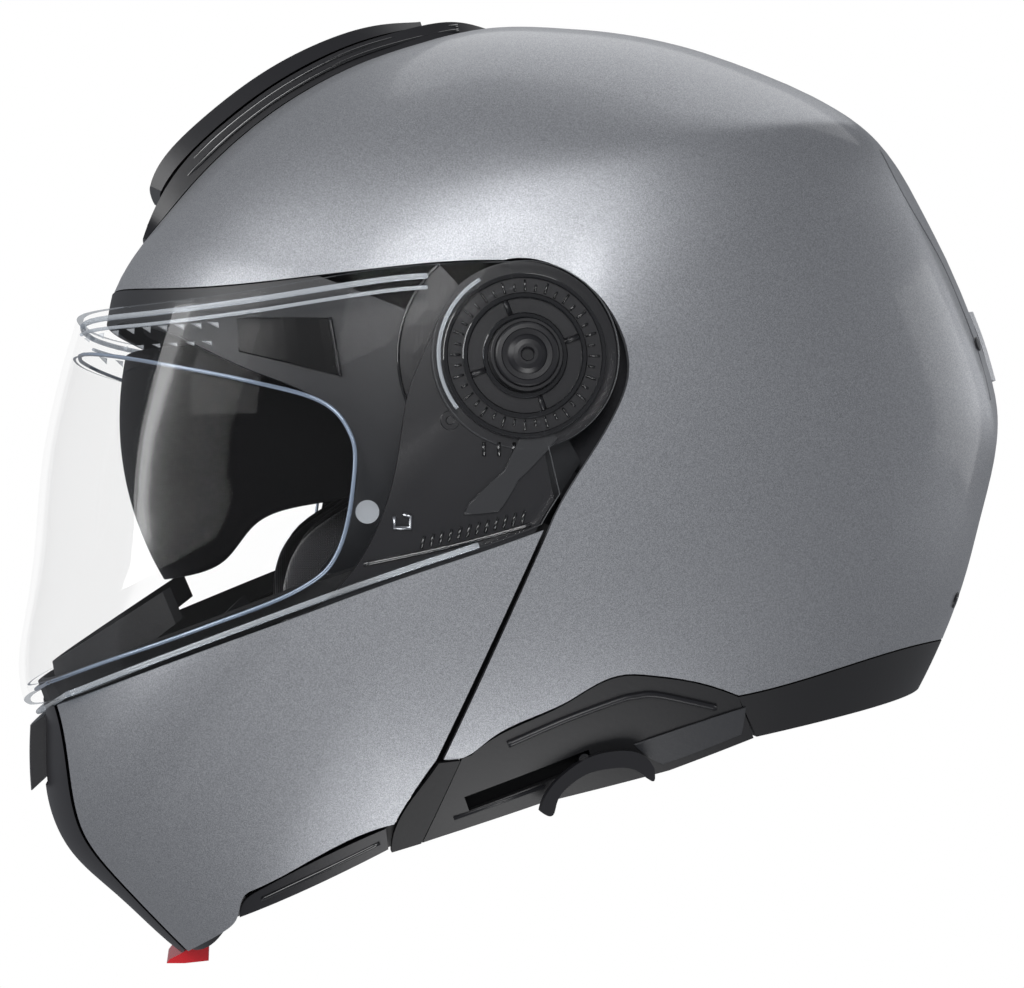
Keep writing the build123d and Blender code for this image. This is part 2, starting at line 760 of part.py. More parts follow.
hook_shares = [
    (-0.094, -0.318), (-0.084, -0.303), (-0.064, -0.298), (-0.030, -0.303), (0.004, -0.304), (0.006, -0.312),
    (-0.002, -0.3165), (-0.030, -0.3165), (-0.056, -0.329), (-0.074, -0.340), (-0.090, -0.334),
]
with BuildPart() as latch_hook_left:
    with BuildSketch(Plane.YZ.offset(hook_outer)):
        with BuildLine():
            Spline(*[spot(share) for share in hook_shares], periodic=True)
        make_face()
        with Locations(spot(hook_axis_share)):
            Circle(hook_bore_radius, mode=Mode.SUBTRACT)
    extrude(amount=-hook_wall)
with BuildPart() as hook_pins:
    with BuildSketch(Plane.YZ.offset(hook_pin_outer)):
        with Locations(spot(hook_axis_share)):
            Circle(hook_pin_radius)
    extrude(amount=hook_outer - hook_wall - move_gap - hook_pin_outer)
    mirror(about=Plane.YZ)
tab_half_width = 12.0
tab_shares = [
    (-0.318, -0.5915), (-0.315, -0.5875), (-0.3045, -0.5825), (-0.296, -0.5775), (-0.286, -0.566),
    (-0.276, -0.566), (-0.276, -0.590), (-0.300, -0.592),
]
with BuildPart() as release_tab:
    with BuildSketch(Plane.YZ):
        with BuildLine():
            Polyline(*[spot(share) for share in tab_shares], close=True)
        make_face()
    extrude(amount=tab_half_width, both=True)

# Crown vent: fixed base on the shell and a cover that slides along it
base_shares = [
    (112, 0.60, 0.15), (117, 0.95, 0.65), (125, 1, 1), (135, 1, 1), (150, 0.94, 1), (165, 0.84, 0.95),
    (175, 0.70, 0.80), (183, 0.42, 0.15),
]
cover_shares = [
    (119.5, 0.80, 0.75), (124, 0.86, 1), (135, 0.86, 1), (150, 0.80, 0.95), (163, 0.66, 0.75),
    (170.5, 0.46, 0.35),
]
vent_half_width = 31.0
vent_height = 6.8
vent_cover_height = 5.4
vent_slope = 3.0


def ridge(angle, half_width, low, high):
    """The section of a raised piece on the crown, between two heights over the shell."""
    turn = math.radians(angle)
    reach, wide = shell_size(angle)
    plane = Plane(origin=(0, *hinge), x_dir=(1, 0, 0), z_dir=(0, math.cos(turn), -math.sin(turn)))

    def row(half, height):
        places = [-half, -half / 2, 0, half / 2, half]
        return [(x, reach * (1 - (abs(x) / wide) ** squareness) ** (1 / squareness) + height) for x in places]

    under, over = row(half_width, low), row(half_width - min(vent_slope, high - low), high)
    with BuildSketch(plane) as section:
        with BuildLine():
            Spline(*over)
            Line(over[-1], under[-1])
            Spline(*under)
            Line(under[0], over[0])
        make_face()
    return section.sketch


def base_top(angle):
    """Height of the vent base over the shell."""
    return seat_gap + vent_height * smooth(base_shares, angle)[1]


with BuildPart() as vent_base:
    loft(
        [
            ridge(a, vent_half_width * smooth(base_shares, a)[0], seat_gap, base_top(a))
            for a in angles(112, 183)
        ]
    )
with BuildPart() as vent_cover:
    loft(
        [
            ridge(
                a,
                vent_half_width * smooth(cover_shares, a)[0],
                base_top(a) + move_gap,
                base_top(a) + move_gap + vent_cover_height * smooth(cover_shares, a)[1],
            )
            for a in angles(119.5, 170.5)
        ]
    )

# Exhaust vent under the rear spoiler
exhaust_half_width = 36.0
exhaust_gap = 1.0
exhaust_height = 2.8
with BuildPart() as exhaust_vent:
    loft([ridge(a, exhaust_half_width, exhaust_gap, exhaust_height) for a in angles(262, 270, 2)])

# Chin strap: webbing out of the foam on each side, and a ratchet buckle under the chin
strap_wall = 2.0
strap_width = 22.0
strap_anchor = 93.0
strap_flat = 74.0
strap_top = hinge_height - 0.262 * helmet_length - seat_gap
strap_drop = 15.0
strap_slope = 14.0
strap_bend = strap_top - strap_drop
strap_low = strap_bend - strap_slope
strap_turn = 8.0
strap_back = 28.0
strap_left_end, strap_right_end = 46.0, 14.0
strap_plane = Plane.XZ.offset(-strap_back)


def webbing():
    """The whole strap as one bent band, seen from the front."""
    with BuildSketch(strap_plane) as ribbon:
        with BuildLine():
            FilletPolyline(
                (-strap_anchor, strap_top), (-strap_anchor, strap_bend), (-strap_flat, strap_low),
                (strap_flat, strap_low), (strap_anchor, strap_bend), (strap_anchor, strap_top),
                radius=strap_turn,
            )
        trace(line_width=strap_wall)
    return ribbon.sketch


with BuildPart() as strap_left:
    extrude(webbing(), amount=strap_width / 2, both=True)
    with BuildSketch(Plane.YZ.offset(strap_left_end)):
        Rectangle(overrun, overrun)
    extrude(amount=-overrun, mode=Mode.SUBTRACT)
with BuildPart() as strap_right:
    extrude(webbing(), amount=strap_width / 2, both=True)
    with BuildSketch(Plane.YZ.offset(strap_right_end)):
        Rectangle(overrun, overrun)
    extrude(amount=overrun, mode=Mode.SUBTRACT)
buckle_first, buckle_last = 10.0, 54.0
buckle_half_width = strap_width / 2 + 0.5
buckle_wall = 1.5
buckle_depth = 13.0
buckle_top = strap_low + strap_wall / 2 + seat_gap + buckle_wall
with BuildPart() as buckle_frame:
    with BuildSketch(Plane.YZ.offset(buckle_first)):
        with Locations((strap_back, buckle_top - buckle_depth / 2)):
            Rectangle(2 * (buckle_half_width + buckle_wall), buckle_depth)
        with Locations((strap_back, buckle_top - buckle_wall - buckle_depth / 2)):
            Rectangle(2 * buckle_half_width, buckle_depth, mode=Mode.SUBTRACT)
    extrude(amount=buckle_last - buckle_first)
tongue_half_width = 8.0
tongue_wall = 1.5
tooth = 1.0
tooth_pitch = 3.0
tongue_top = strap_low - strap_wall / 2 - seat_gap
tongue_first, tongue_last = 16.0, 40.0
with BuildPart() as strap_tongue:
    with BuildSketch(strap_plane):
        with Locations(((tongue_first + tongue_last) / 2, tongue_top - tongue_wall / 2)):
            Rectangle(tongue_last - tongue_first, tongue_wall)
    extrude(amount=tongue_half_width, both=True)
    with BuildSketch(strap_plane):
        for k in range(int((tongue_last - tongue_first) / tooth_pitch)):
            with Locations((tongue_first + k * tooth_pitch, tongue_top - tongue_wall)):
                Polygon((0, 0), (tooth_pitch, 0), (tooth_pitch, -tooth), align=None)
    extrude(amount=tongue_half_width, both=True)
lever_axis_x = 47.0
lever_length = 31.0
lever_slope = 5.0
lever_lip = 7.0
lever_tip = lever_axis_x - lever_length
lever_half_width = 9.4
lever_thick = 2.4
lever_bore_radius = 1.6
lever_axis_z = tongue_top - tongue_wall - tooth - move_gap - lever_thick / 2
with BuildPart() as buckle_lever:
    with BuildSketch(strap_plane):
        with BuildLine():
            Polyline(
                (lever_tip, lever_axis_z - lever_thick),
                (lever_tip, lever_axis_z),
                (lever_tip + lever_slope, lever_axis_z + lever_thick / 2),
                (lever_axis_x, lever_axis_z + lever_thick / 2),
                (lever_axis_x, lever_axis_z - lever_thick / 2),
                (lever_tip + lever_lip, lever_axis_z - lever_thick / 2),
                close=True,
            )
        make_face()
        with Locations((lever_axis_x, lever_axis_z)):
            Circle(lever_thick)
            Circle(lever_bore_radius, mode=Mode.SUBTRACT)
    extrude(amount=lever_half_width, both=True)
with BuildPart() as buckle_pin:
    with BuildSketch(strap_plane):
        with Locations((lever_axis_x, lever_axis_z)):
            Circle(lever_bore_radius - seat_gap)
    extrude(amount=buckle_half_width - seat_gap, both=True)

pieces = {
    "outer_shell": outer_shell,
    "eyeport_frame": eyeport_frame,
    "crown_foam": crown_foam,
    "crown_pad": crown_pad,
    "neck_roll": neck_roll,
    "neck_trim": neck_trim,
    "side_cover_left": side_cover_left,
    "side_cover_right": side_cover_right,
    "vent_base": vent_base,
    "vent_cover": vent_cover,
    "exhaust_vent": exhaust_vent,
    "visor": visor,
    "anti_fog_lens": anti_fog_lens,
    "lens_pins": lens_pins,
    "sun_visor": sun_visor,
    "sun_visor_pins": sun_visor_pins,
    "sun_slider": sun_slider,
    "chin_bar_frame": chin_bar_frame,
    "chin_vent_housing": chin_vent_housing,
    "chin_vent_flap": chin_vent_flap,
    "chin_foam": chin_foam,
    "breath_guard": breath_guard,
    "chin_curtain": chin_curtain,
    "striker_pins": striker_pins,
    "hook_pins": hook_pins,
    "release_tab": release_tab,
    "strap_left": strap_left,
    "strap_right": strap_right,
    "buckle_frame": buckle_frame,
    "strap_tongue": strap_tongue,
    "buckle_lever": buckle_lever,
    "buckle_pin": buckle_pin,
}
left_pieces = {
    "chin_panel": chin_panel_left,
    "chin_insert": chin_insert_left,
    "hinge_plate": hinge_plate_left,
    "hinge_bush": hinge_bush_left,
    "hinge_screw": hinge_screw_left,
    "cheek_pad": cheek_pad_left,
    "cheek_foam": cheek_foam_left,
    "edge_strip": edge_strip_left,
    "latch_hook": latch_hook_left,
}
for name, piece in left_pieces.items():
    with BuildPart() as other_side:
        mirror(piece.part, about=Plane.YZ)
    pieces[f"{name}_left"] = piece
    pieces[f"{name}_right"] = other_side

for name, piece in pieces.items():
    piece.part.label = name
    export_step(piece.part, f"parts/{name}.step")
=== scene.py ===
import json
import math

import bmesh
import bpy
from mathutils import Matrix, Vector

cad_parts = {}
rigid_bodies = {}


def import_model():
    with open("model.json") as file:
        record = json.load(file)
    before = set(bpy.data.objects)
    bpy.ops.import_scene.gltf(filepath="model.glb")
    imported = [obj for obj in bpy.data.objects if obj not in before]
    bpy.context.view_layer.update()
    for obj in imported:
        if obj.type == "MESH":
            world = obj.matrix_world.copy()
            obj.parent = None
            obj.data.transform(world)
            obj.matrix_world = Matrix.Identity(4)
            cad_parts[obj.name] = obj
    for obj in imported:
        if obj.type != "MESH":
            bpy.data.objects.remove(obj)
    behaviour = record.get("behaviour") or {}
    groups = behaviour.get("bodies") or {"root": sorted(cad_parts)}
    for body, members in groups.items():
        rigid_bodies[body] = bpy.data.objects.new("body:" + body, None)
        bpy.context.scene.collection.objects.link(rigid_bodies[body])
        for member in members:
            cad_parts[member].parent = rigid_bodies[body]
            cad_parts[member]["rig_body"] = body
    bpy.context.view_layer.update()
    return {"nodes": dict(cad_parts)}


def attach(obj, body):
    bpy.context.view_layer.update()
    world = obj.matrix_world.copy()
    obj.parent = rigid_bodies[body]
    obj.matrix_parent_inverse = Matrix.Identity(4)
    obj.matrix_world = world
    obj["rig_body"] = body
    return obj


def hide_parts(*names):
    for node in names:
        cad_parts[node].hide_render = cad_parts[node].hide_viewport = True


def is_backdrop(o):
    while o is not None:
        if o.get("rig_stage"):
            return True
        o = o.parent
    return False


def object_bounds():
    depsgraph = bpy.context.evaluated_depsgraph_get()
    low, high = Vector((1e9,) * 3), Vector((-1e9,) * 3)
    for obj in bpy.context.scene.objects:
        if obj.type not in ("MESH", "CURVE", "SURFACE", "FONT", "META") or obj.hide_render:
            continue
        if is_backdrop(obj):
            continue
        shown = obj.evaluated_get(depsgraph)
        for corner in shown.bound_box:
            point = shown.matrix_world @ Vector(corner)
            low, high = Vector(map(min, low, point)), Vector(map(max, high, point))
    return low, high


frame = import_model()

# Outer shell and chin panels
# A laminate shell and moulded panels in silver metallic paint. They come off smooth tools, so a
# reflection runs over them with no facets: each is an arch that turns about the hinge axis.

# The hinge axis in the side view, in metres, and the length that all shares are taken of.
hinge = (-0.012655, 0.20187)
length = 0.341
# How square the arches are.
power = 2.4
# Angle about the hinge axis, reach as a share of the length, and how far the arch has widened.
shell_shares = [
    (93, 0.387, 0), (101, 0.384, 0), (108, 0.374, 0), (117, 0.359, 0), (131, 0.347, 0),
    (145, 0.342, 0), (156, 0.342, 0), (167, 0.345, 0), (180, 0.356, 0.05), (193, 0.367, 0.15),
    (207, 0.390, 0.3), (221, 0.422, 0.55), (231, 0.455, 0.7), (239, 0.478, 0.8), (250, 0.490, 0.93),
    (260, 0.507, 1), (268, 0.526, 1), (275, 0.541, 1), (286, 0.540, 1), (297, 0.548, 1),
    (306, 0.557, 1), (320, 0.575, 1), (340, 0.610, 1), (360, 0.630, 1), (376, 0.639, 1),
]
chin_shares = [
    (-14, 0.663, 0), (10, 0.663, 0), (24, 0.661, 0), (31, 0.647, 0), (36, 0.636, 0), (42, 0.6275, 0),
    (46.5, 0.603, 0), (50, 0.575, 0), (53, 0.551, 0), (60, 0.528, 0), (80, 0.513, 0), (132, 0.499, 0),
]
forms = {
    "shell": (shell_shares, 0.1215, 0.128),
    "chin": (chin_shares, 0.1284, 0.1284),
}


def smooth(rows, angle):
    """The values of a table at an angle, on a smooth curve through its rows."""
    k = 0
    while k < len(rows) - 2 and rows[k + 1][0] < angle:
        k += 1
    before, start = rows[max(k - 1, 0)], rows[k]
    end, after = rows[k + 1], rows[min(k + 2, len(rows) - 1)]
    step = end[0] - start[0]
    t = (angle - start[0]) / step
    values = []
    for i in (1, 2):
        leave = (end[i] - before[i]) / (end[0] - before[0]) * step
        arrive = (after[i] - start[i]) / (after[0] - start[0]) * step
        values.append(
            (2 * t**3 - 3 * t**2 + 1) * start[i] + (t**3 - 2 * t**2 + t) * leave
            + (3 * t**2 - 2 * t**3) * end[i] + (t**3 - t**2) * arrive
        )
    return values


def size_at(form, angle):
    """Reach and half width of a form at an angle about the hinge axis."""
    rows, narrow, broad = forms[form]
    if angle < rows[0][0] and angle + 360 <= rows[-1][0] + 2:
        angle += 360
    if angle > rows[-1][0] and angle - 360 >= rows[0][0] - 30:
        angle -= 360
    angle = min(max(angle, rows[0][0]), rows[-1][0])
    reach, widened = smooth(rows, angle)
    return reach * length, narrow + widened * (broad - narrow)


def turn_of(y, z):
    """Angle of a place about the hinge axis: 0 straight down, 90 to the front."""
    return math.degrees(math.atan2(hinge[0] - y, hinge[1] - z)) % 360


def height_of(form, p):
    """How far out of a form's arch a place lies, as a power sum that is 1 on the arch."""
    reach, wide = size_at(form, turn_of(p[1], p[2]))
    r = math.hypot(p[1] - hinge[0], p[2] - hinge[1])
    return (abs(p[0]) / wide) ** power + (r / reach) ** power


def facing(form, p):
    """The outward direction of a form at a place."""
    step = 0.0004
    slope = [
        height_of(form, [p[i] + step * (i == k) for i in range(3)])
        - height_of(form, [p[i] - step * (i == k) for i in range(3)])
        for k in range(3)
    ]
    made = Vector(slope)
    return made.normalized() if made.length > 1e-9 else Vector((1, 0, 0))


def colour(code, alpha=1.0):
    """Linear colour of an sRGB hex code."""
    parts = [int(code[k:k + 2], 16) / 255 for k in (0, 2, 4)]
    return [p / 12.92 if p <= 0.04045 else ((p + 0.055) / 1.055) ** 2.4 for p in parts] + [alpha]


def node(tree, kind, values=None, links=None, **settings):
    """Adds one shader node, sets its options and sockets, and links other outputs into it."""
    made = tree.nodes.new(kind)
    for name, value in settings.items():
        setattr(made, name, value)
    for name, value in (values or {}).items():
        made.inputs[name].default_value = value
    for name, source in (links or {}).items():
        tree.links.new(source, made.inputs[name])
    return made


def blank(name):
    """A new finish with only its output, and its object coordinates."""
    made = bpy.data.materials.new(name)
    made.use_nodes = True
    tree = made.node_tree
    tree.nodes.clear()
    output = node(tree, "ShaderNodeOutputMaterial")
    place = node(tree, "ShaderNodeTexCoord").outputs["Object"]
    return made, tree, output, place


# How far the slope of a crease runs out from its line, and how high it stands, in metres.
fold_reach = 0.030
fold_rise = 0.0110
# The two creases in the side view: how steep each line is, and where it crosses the axis.
shoulder_slope, shoulder_start = 0.2125, 0.2636
rear_slope, rear_start = -0.474, 0.2461


def silver_paint(name, creased):
    """Silver base coat with fine aluminium flake under a smooth clear coat.

    The creased one also shades the shoulder line and the rear line of the shell.
    """
    made, tree, output, place = blank(name)
    flake = node(tree, "ShaderNodeTexVoronoi", {"Scale": 5200.0}, {"Vector": place})
    tone = node(tree, "ShaderNodeSeparateColor", None, {"Color": flake.outputs["Color"]})
    base = node(
        tree, "ShaderNodeMixRGB", {"Color1": colour("7d7f83"), "Color2": colour("a9abaf")},
        {"Fac": tone.outputs["Red"]},
    )
    spread = node(
        tree, "ShaderNodeMapRange", {"To Min": 0.40, "To Max": 0.52}, {"Value": tone.outputs["Green"]}
    )
    bump = node(
        tree, "ShaderNodeBump", {"Strength": 0.06, "Distance": 0.0001}, {"Height": tone.outputs["Blue"]}
    )
    if creased:
        axes = node(tree, "ShaderNodeSeparateXYZ", None, {"Vector": place})

        def maths(operation, first, second):
            """One sum of two values, either of which may be another node's output."""
            made = node(tree, "ShaderNodeMath", None, None, operation=operation)
            for k, value in enumerate((first, second)):
                if isinstance(value, (int, float)):
                    made.inputs[k].default_value = value
                else:
                    tree.links.new(value, made.inputs[k])
            return made.outputs["Value"]

        def fold(away, soft):
            """Height of a fold along a line, from the distance to it."""
            squares = maths("ADD", maths("MULTIPLY", away, away), maths("MULTIPLY", soft, soft))
            blunt = maths("SQRT", squares, 0)
            fade = maths("EXPONENT", maths("MULTIPLY", blunt, -1 / fold_reach), 0)
            return maths("MULTIPLY", fade, fold_rise)

        back = axes.outputs["Y"]
        ramp = node(
            tree, "ShaderNodeMapRange",
            {"From Min": -0.05, "From Max": 0.11, "To Min": 0.014, "To Max": 0.002},
            {"Value": back}, interpolation_type="SMOOTHSTEP",
        ).outputs["Result"]
        grow = node(
            tree, "ShaderNodeMapRange", {"From Min": -0.09, "From Max": 0.06, "To Min": 0.0, "To Max": 1.0},
            {"Value": back}, interpolation_type="SMOOTHSTEP",
        ).outputs["Result"]
        rising = maths("ADD", maths("MULTIPLY", back, shoulder_slope), shoulder_start)
        shoulder = maths("SUBTRACT", axes.outputs["Z"], rising)
        falling = maths("ADD", maths("MULTIPLY", axes.outputs["Z"], rear_slope), rear_start)
        rear = maths("SUBTRACT", back, falling)
        both = maths("ADD", maths("MULTIPLY", fold(shoulder, ramp), grow), fold(rear, 0.003))
        form = node(tree, "ShaderNodeBump", {"Strength": 1.0, "Distance": 1.0}, {"Height": both})
        tree.links.new(form.outputs["Normal"], bump.inputs["Normal"])
    shader = node(
        tree, "ShaderNodeBsdfPrincipled",
        {"Metallic": 0.75, "Coat Weight": 0.3, "Coat Roughness": 0.10, "Coat IOR": 1.4},
        {"Base Color": base.outputs["Color"], "Roughness": spread.outputs["Result"],
         "Normal": bump.outputs["Normal"]},
    )
    tree.links.new(shader.outputs["BSDF"], output.inputs["Surface"])
    return made


def plain(name, code, rough=0.5, metal=0.0, grain=0.0, grain_scale=900.0, coat=0.0, specular=0.5, patch=0.0):
    """A solid finish with a fine grain, and cloudy differences in its gloss."""
    made, tree, output, place = blank(name)
    cloud = node(tree, "ShaderNodeTexNoise", {"Scale": 18.0, "Detail": 4.0}, {"Vector": place})
    gloss = node(
        tree, "ShaderNodeMapRange", {"To Min": max(rough - 0.06, 0.02), "To Max": rough + 0.08},
        {"Value": cloud.outputs["Fac"]},
    )
    shader = node(
        tree, "ShaderNodeBsdfPrincipled",
        {"Base Color": colour(code), "Metallic": metal, "Coat Weight": coat, "Coat Roughness": 0.05,
         "Specular IOR Level": specular},
        {"Roughness": gloss.outputs["Result"]},
    )
    if patch:
        paler = [c * (1 + patch) for c in colour(code)[:3]] + [1]
        tint = node(
            tree, "ShaderNodeMixRGB", {"Color1": colour(code), "Color2": paler}, {"Fac": cloud.outputs["Fac"]},
        )
        tree.links.new(tint.outputs["Color"], shader.inputs["Base Color"])
    if grain:
        noise = node(tree, "ShaderNodeTexNoise", {"Scale": grain_scale, "Detail": 2.0}, {"Vector": place})
        bump = node(
            tree, "ShaderNodeBump", {"Strength": grain, "Distance": 0.0004}, {"Height": noise.outputs["Fac"]}
        )
        tree.links.new(bump.outputs["Normal"], shader.inputs["Normal"])
    tree.links.new(shader.outputs["BSDF"], output.inputs["Surface"])
    return made


def dress(name, finish, form=None, sharp=28.0, rim=None, inner=None):
    """A finished copy of a CAD piece. With a form, its faces shade as that form does.

    A rim finish goes on the faces that stand across the form, such as the edges of a shield.
    An inner finish goes on the faces that look inwards.
    """
    source = frame["nodes"][name]
    work = bmesh.new()
    work.from_mesh(source.data)
    bmesh.ops.remove_doubles(work, verts=work.verts, dist=2e-6)
    for face in work.faces:
        face.smooth = True
    for edge in work.edges:
        if len(edge.link_faces) == 2 and edge.calc_face_angle(0) > math.radians(sharp):
            edge.smooth = False
    data = bpy.data.meshes.new("look_" + name)
    work.to_mesh(data)
    work.free()
    data.materials.clear()
    data.materials.append(finish)
    if rim or inner:
        data.materials.append(rim or inner)
    made = bpy.data.objects.new("look_" + name, data)
    bpy.context.scene.collection.objects.link(made)
    if form:
        cache = {}
        normals = []
        for face in data.polygons:
            lean = facing(form, face.center).dot(face.normal)
            if (rim and abs(lean) < 0.7) or (inner and lean < -0.6):
                face.material_index = 1
            for corner in face.loop_indices:
                k = data.loops[corner].vertex_index
                if k not in cache:
                    cache[k] = facing(form, data.vertices[k].co)
                lean = cache[k].dot(face.normal)
                if lean > 0.93:
                    normals.append(cache[k])
                elif lean < -0.93:
                    normals.append(-cache[k])
                else:
                    normals.append(face.normal.copy())
        data.normals_split_custom_set(normals)
    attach(made, source["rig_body"])
    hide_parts(name)
    return made


# Bright silver with a fine sparkle that breaks up under a soft coat; the shell adds its two creases.
silver = silver_paint("silver_paint", False)
silver_shell = silver_paint("silver_paint_shell", True)
# Bare moulded black with a dull, slightly cloudy face.
matte_black = plain("matte_black", "121214", 0.50, grain=0.08, grain_scale=700.0, patch=0.2)
dress("outer_shell", silver_shell, "shell", inner=matte_black)
for name in ("chin_panel_left", "chin_panel_right"):
    dress(name, silver, "chin", inner=matte_black)

# Plugs and seams of the rear
# A fine seam runs up each side where the rear moulding meets the shell, with a small plug beside
# it, and a capped screw holds each side cover.

# The shadow in a painted seam.
seam_grey = plain("seam_grey", "55575b", 0.5)
# Moulded black with a soft sheen that widens the highlights.
satin_black = plain("satin_black", "151518", 0.36, grain=0.04, specular=0.45, patch=0.2)
# Polished black that mirrors the softboxes in thin lines.
gloss_black = plain("gloss_black", "0c0c0e", 0.08, coat=0.8)


def new_object(name, verts, faces, finish):
    """A mesh object with one finish."""
    data = bpy.data.meshes.new(name)
    data.from_pydata([tuple(v) for v in verts], [], faces)
    data.materials.append(finish)
    made = bpy.data.objects.new(name, data)
    bpy.context.scene.collection.objects.link(made)
    return made


def on_form(form, share, depth=0.0, side=1):
    """A place on a form, seen from the side at a share of the length from the hinge."""
    y, z = hinge[0] + share[0] * length, hinge[1] + share[1] * length
    reach, wide = size_at(form, turn_of(y, z))
    r = min(math.hypot(share[0], share[1]) * length / (reach - depth), 0.9999)
    return Vector((side * (wide - depth) * (1 - r**power) ** (1 / power), y, z))


def between(points, steps):
    """Evenly spaced places on a smooth line through a few places."""
    made = []
    for k in range(len(points) - 1):
        p0, p1 = points[max(k - 1, 0)], points[k]
        p2, p3 = points[k + 1], points[min(k + 2, len(points) - 1)]
        for s in range(steps):
            t = s / steps
            made.append(tuple(
                0.5 * (
                    2 * b + (c - a) * t + (2 * a - 5 * b + 4 * c - d) * t**2
                    + (3 * b - a - 3 * c + d) * t**3
                )
                for a, b, c, d in zip(p0, p1, p2, p3)
            ))
    made.append(tuple(points[-1]))
    return made


def tube(name, points, radius, finish, body, closed=False, sides=10, flat=1.0):
    """A round bead along a line of places."""
    points = [Vector(p) for p in points]
    count = len(points)
    verts, faces = [], []
    side = None
    for k, p in enumerate(points):
        ahead = points[(k + 1) % count] if closed or k < count - 1 else p
        behind = points[k - 1] if closed or k > 0 else p
        along = (ahead - behind).normalized()
        if side is None:
            side = along.orthogonal().normalized()
        side = (side - along * side.dot(along)).normalized()
        up = along.cross(side)
        for s in range(sides):
            a = 2 * math.pi * s / sides
            verts.append(p + radius * (side * math.cos(a) * flat + up * math.sin(a)))
    rings = count if closed else count - 1
    for k in range(rings):
        for s in range(sides):
            a, b = k * sides + s, k * sides + (s + 1) % sides
            c, d = ((k + 1) % count) * sides + (s + 1) % sides, ((k + 1) % count) * sides + s
            faces.append((a, b, c, d))
    if not closed:
        faces.append(tuple(range(sides))[::-1])
        faces.append(tuple(range((count - 1) * sides, count * sides)))
    made = new_object(name, verts, faces, finish)
    for face in made.data.polygons:
        face.use_smooth = len(face.vertices) == 4
    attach(made, body)
    return made


def line_on(name, form, shares, depth, radius, finish, body, side=1, steps=8):
    """A thin bead along a smooth line on a form."""
    line = [on_form(form, share, depth, side) for share in between(shares, steps)]
    return tube(name, line, radius, finish, body)


def peg(name, form, share, radius, height, finish, body, side=1):
    """A short round plug that stands square out of a form."""
    base = on_form(form, share, 0.0, side)
    out = facing(form, base)
    return tube(name, [base - out * 0.002, base + out * height], radius, finish, body, sides=24)


hands = ((1, "left"), (-1, "right"))
rear_seam_shares = [
    (0.3790, 0.2200), (0.3930, 0.1782), (0.4369, 0.1117), (0.4581, 0.0679), (0.4708, 0.0385),
    (0.4777, 0.0219), (0.4900, -0.0255),
]
for side, hand in hands:
    line_on("rear_seam_" + hand, "shell", rear_seam_shares, 0.0004, 0.0006, seam_grey, "shell", side)
    peg("rear_plug_" + hand, "shell", (0.478, 0.030), 0.0024, 0.0006, satin_black, "shell", side)
    peg("screw_plug_" + hand, "shell", (0.4636, -0.2243), 0.0028, 0.0005, satin_black, "shell", side)
    peg("screw_socket_" + hand, "shell", (0.4636, -0.2243), 0.0012, 0.0007, gloss_black, "shell", side)

# Black mouldings of the chin bar and the eye port
# Injection-moulded plastic, satin outside and matte inside, screwed or clipped to the shell and
# the chin bar. The ends of the lower trim and the breath guard are soft rubber.
forms["eye"] = ([(-30, 0.384, 0), (40, 0.384, 0), (80, 0.384, 0), (112, 0.384, 0)], 0.1212, 0.1212)
# A shade lighter and duller, so that the frame reads behind the clear visor.
frame_black = plain("frame_black", "1b1c1f", 0.46, grain=0.05, grain_scale=700.0, patch=0.15)
# Rubber with a fine grain and no highlight.
soft_rubber = plain("soft_rubber", "101012", 0.6, grain=0.2, grain_scale=600.0)
for name in ("chin_vent_housing", "chin_vent_flap", "chin_bar_frame"):
    dress(name, satin_black, "chin")
dress("eyeport_frame", frame_black, "eye")
for name in ("chin_insert_left", "chin_insert_right"):
    dress(name, satin_black, "chin")
for name in ("side_cover_left", "side_cover_right", "neck_trim"):
    dress(name, matte_black, "shell")
for name in ("edge_strip_left", "edge_strip_right"):
    dress(name, soft_rubber, "shell")
for name in ("vent_base", "vent_cover"):
    dress(name, satin_black)
dress("exhaust_vent", silver)
for name in ("sun_slider", "strap_tongue"):
    dress(name, satin_black)
dress("breath_guard", soft_rubber)


# Window seal of the chin bar
# A black rubber band along the top of the chin bar, seen through the foot of the visor, which
# closes onto it.
visor_shares = [
    (-14, 0.580, 0), (30, 0.575, 0), (45, 0.569, 0), (55, 0.563, 0), (67, 0.490, 0), (82, 0.443, 0),
    (96, 0.415, 0), (106, 0.408, 0), (120, 0.405, 0), (170, 0.405, 0),
]
forms["visor"] = (visor_shares, 0.1306, 0.1306)


def at(form, angle, spread, depth=0.0, side=1):
    """A place on a form's arch at an angle, part of the way round it."""
    reach, wide = size_at(form, angle)
    turn, tilt = math.radians(spread), math.radians(angle)
    along, across = math.cos(turn) / (reach - depth), abs(math.sin(turn)) / (wide - depth)
    out = (along**power + across**power) ** (-1 / power)
    r = out * math.cos(turn)
    return Vector((side * out * math.sin(turn), hinge[0] - r * math.sin(tilt), hinge[1] - r * math.cos(tilt)))


def foot_angle(form, spread, depth, rows):
    """Angle at which an arch crosses a line of the side view."""
    low, high = 15.0, 75.0
    for k in range(24):
        angle = (low + high) / 2
        p = at(form, angle, spread, depth)
        y = (p.y - hinge[0]) / length
        for a, b in zip(rows, rows[1:]):
            if b[0] >= y or b is rows[-1]:
                line = a[1] + (b[1] - a[1]) * (y - a[0]) / (b[0] - a[0])
                break
        if (p.z - hinge[1]) / length > line:
            high = angle
        else:
            low = angle
    return low


def face_outwards(data, merged=False):
    """Turns a closed mesh's faces outwards, after its doubles are merged."""
    work = bmesh.new()
    work.from_mesh(data)
    if merged:
        bmesh.ops.remove_doubles(work, verts=work.verts, dist=1e-6)
    bmesh.ops.recalc_face_normals(work, faces=work.faces)
    work.to_mesh(data)
    work.free()


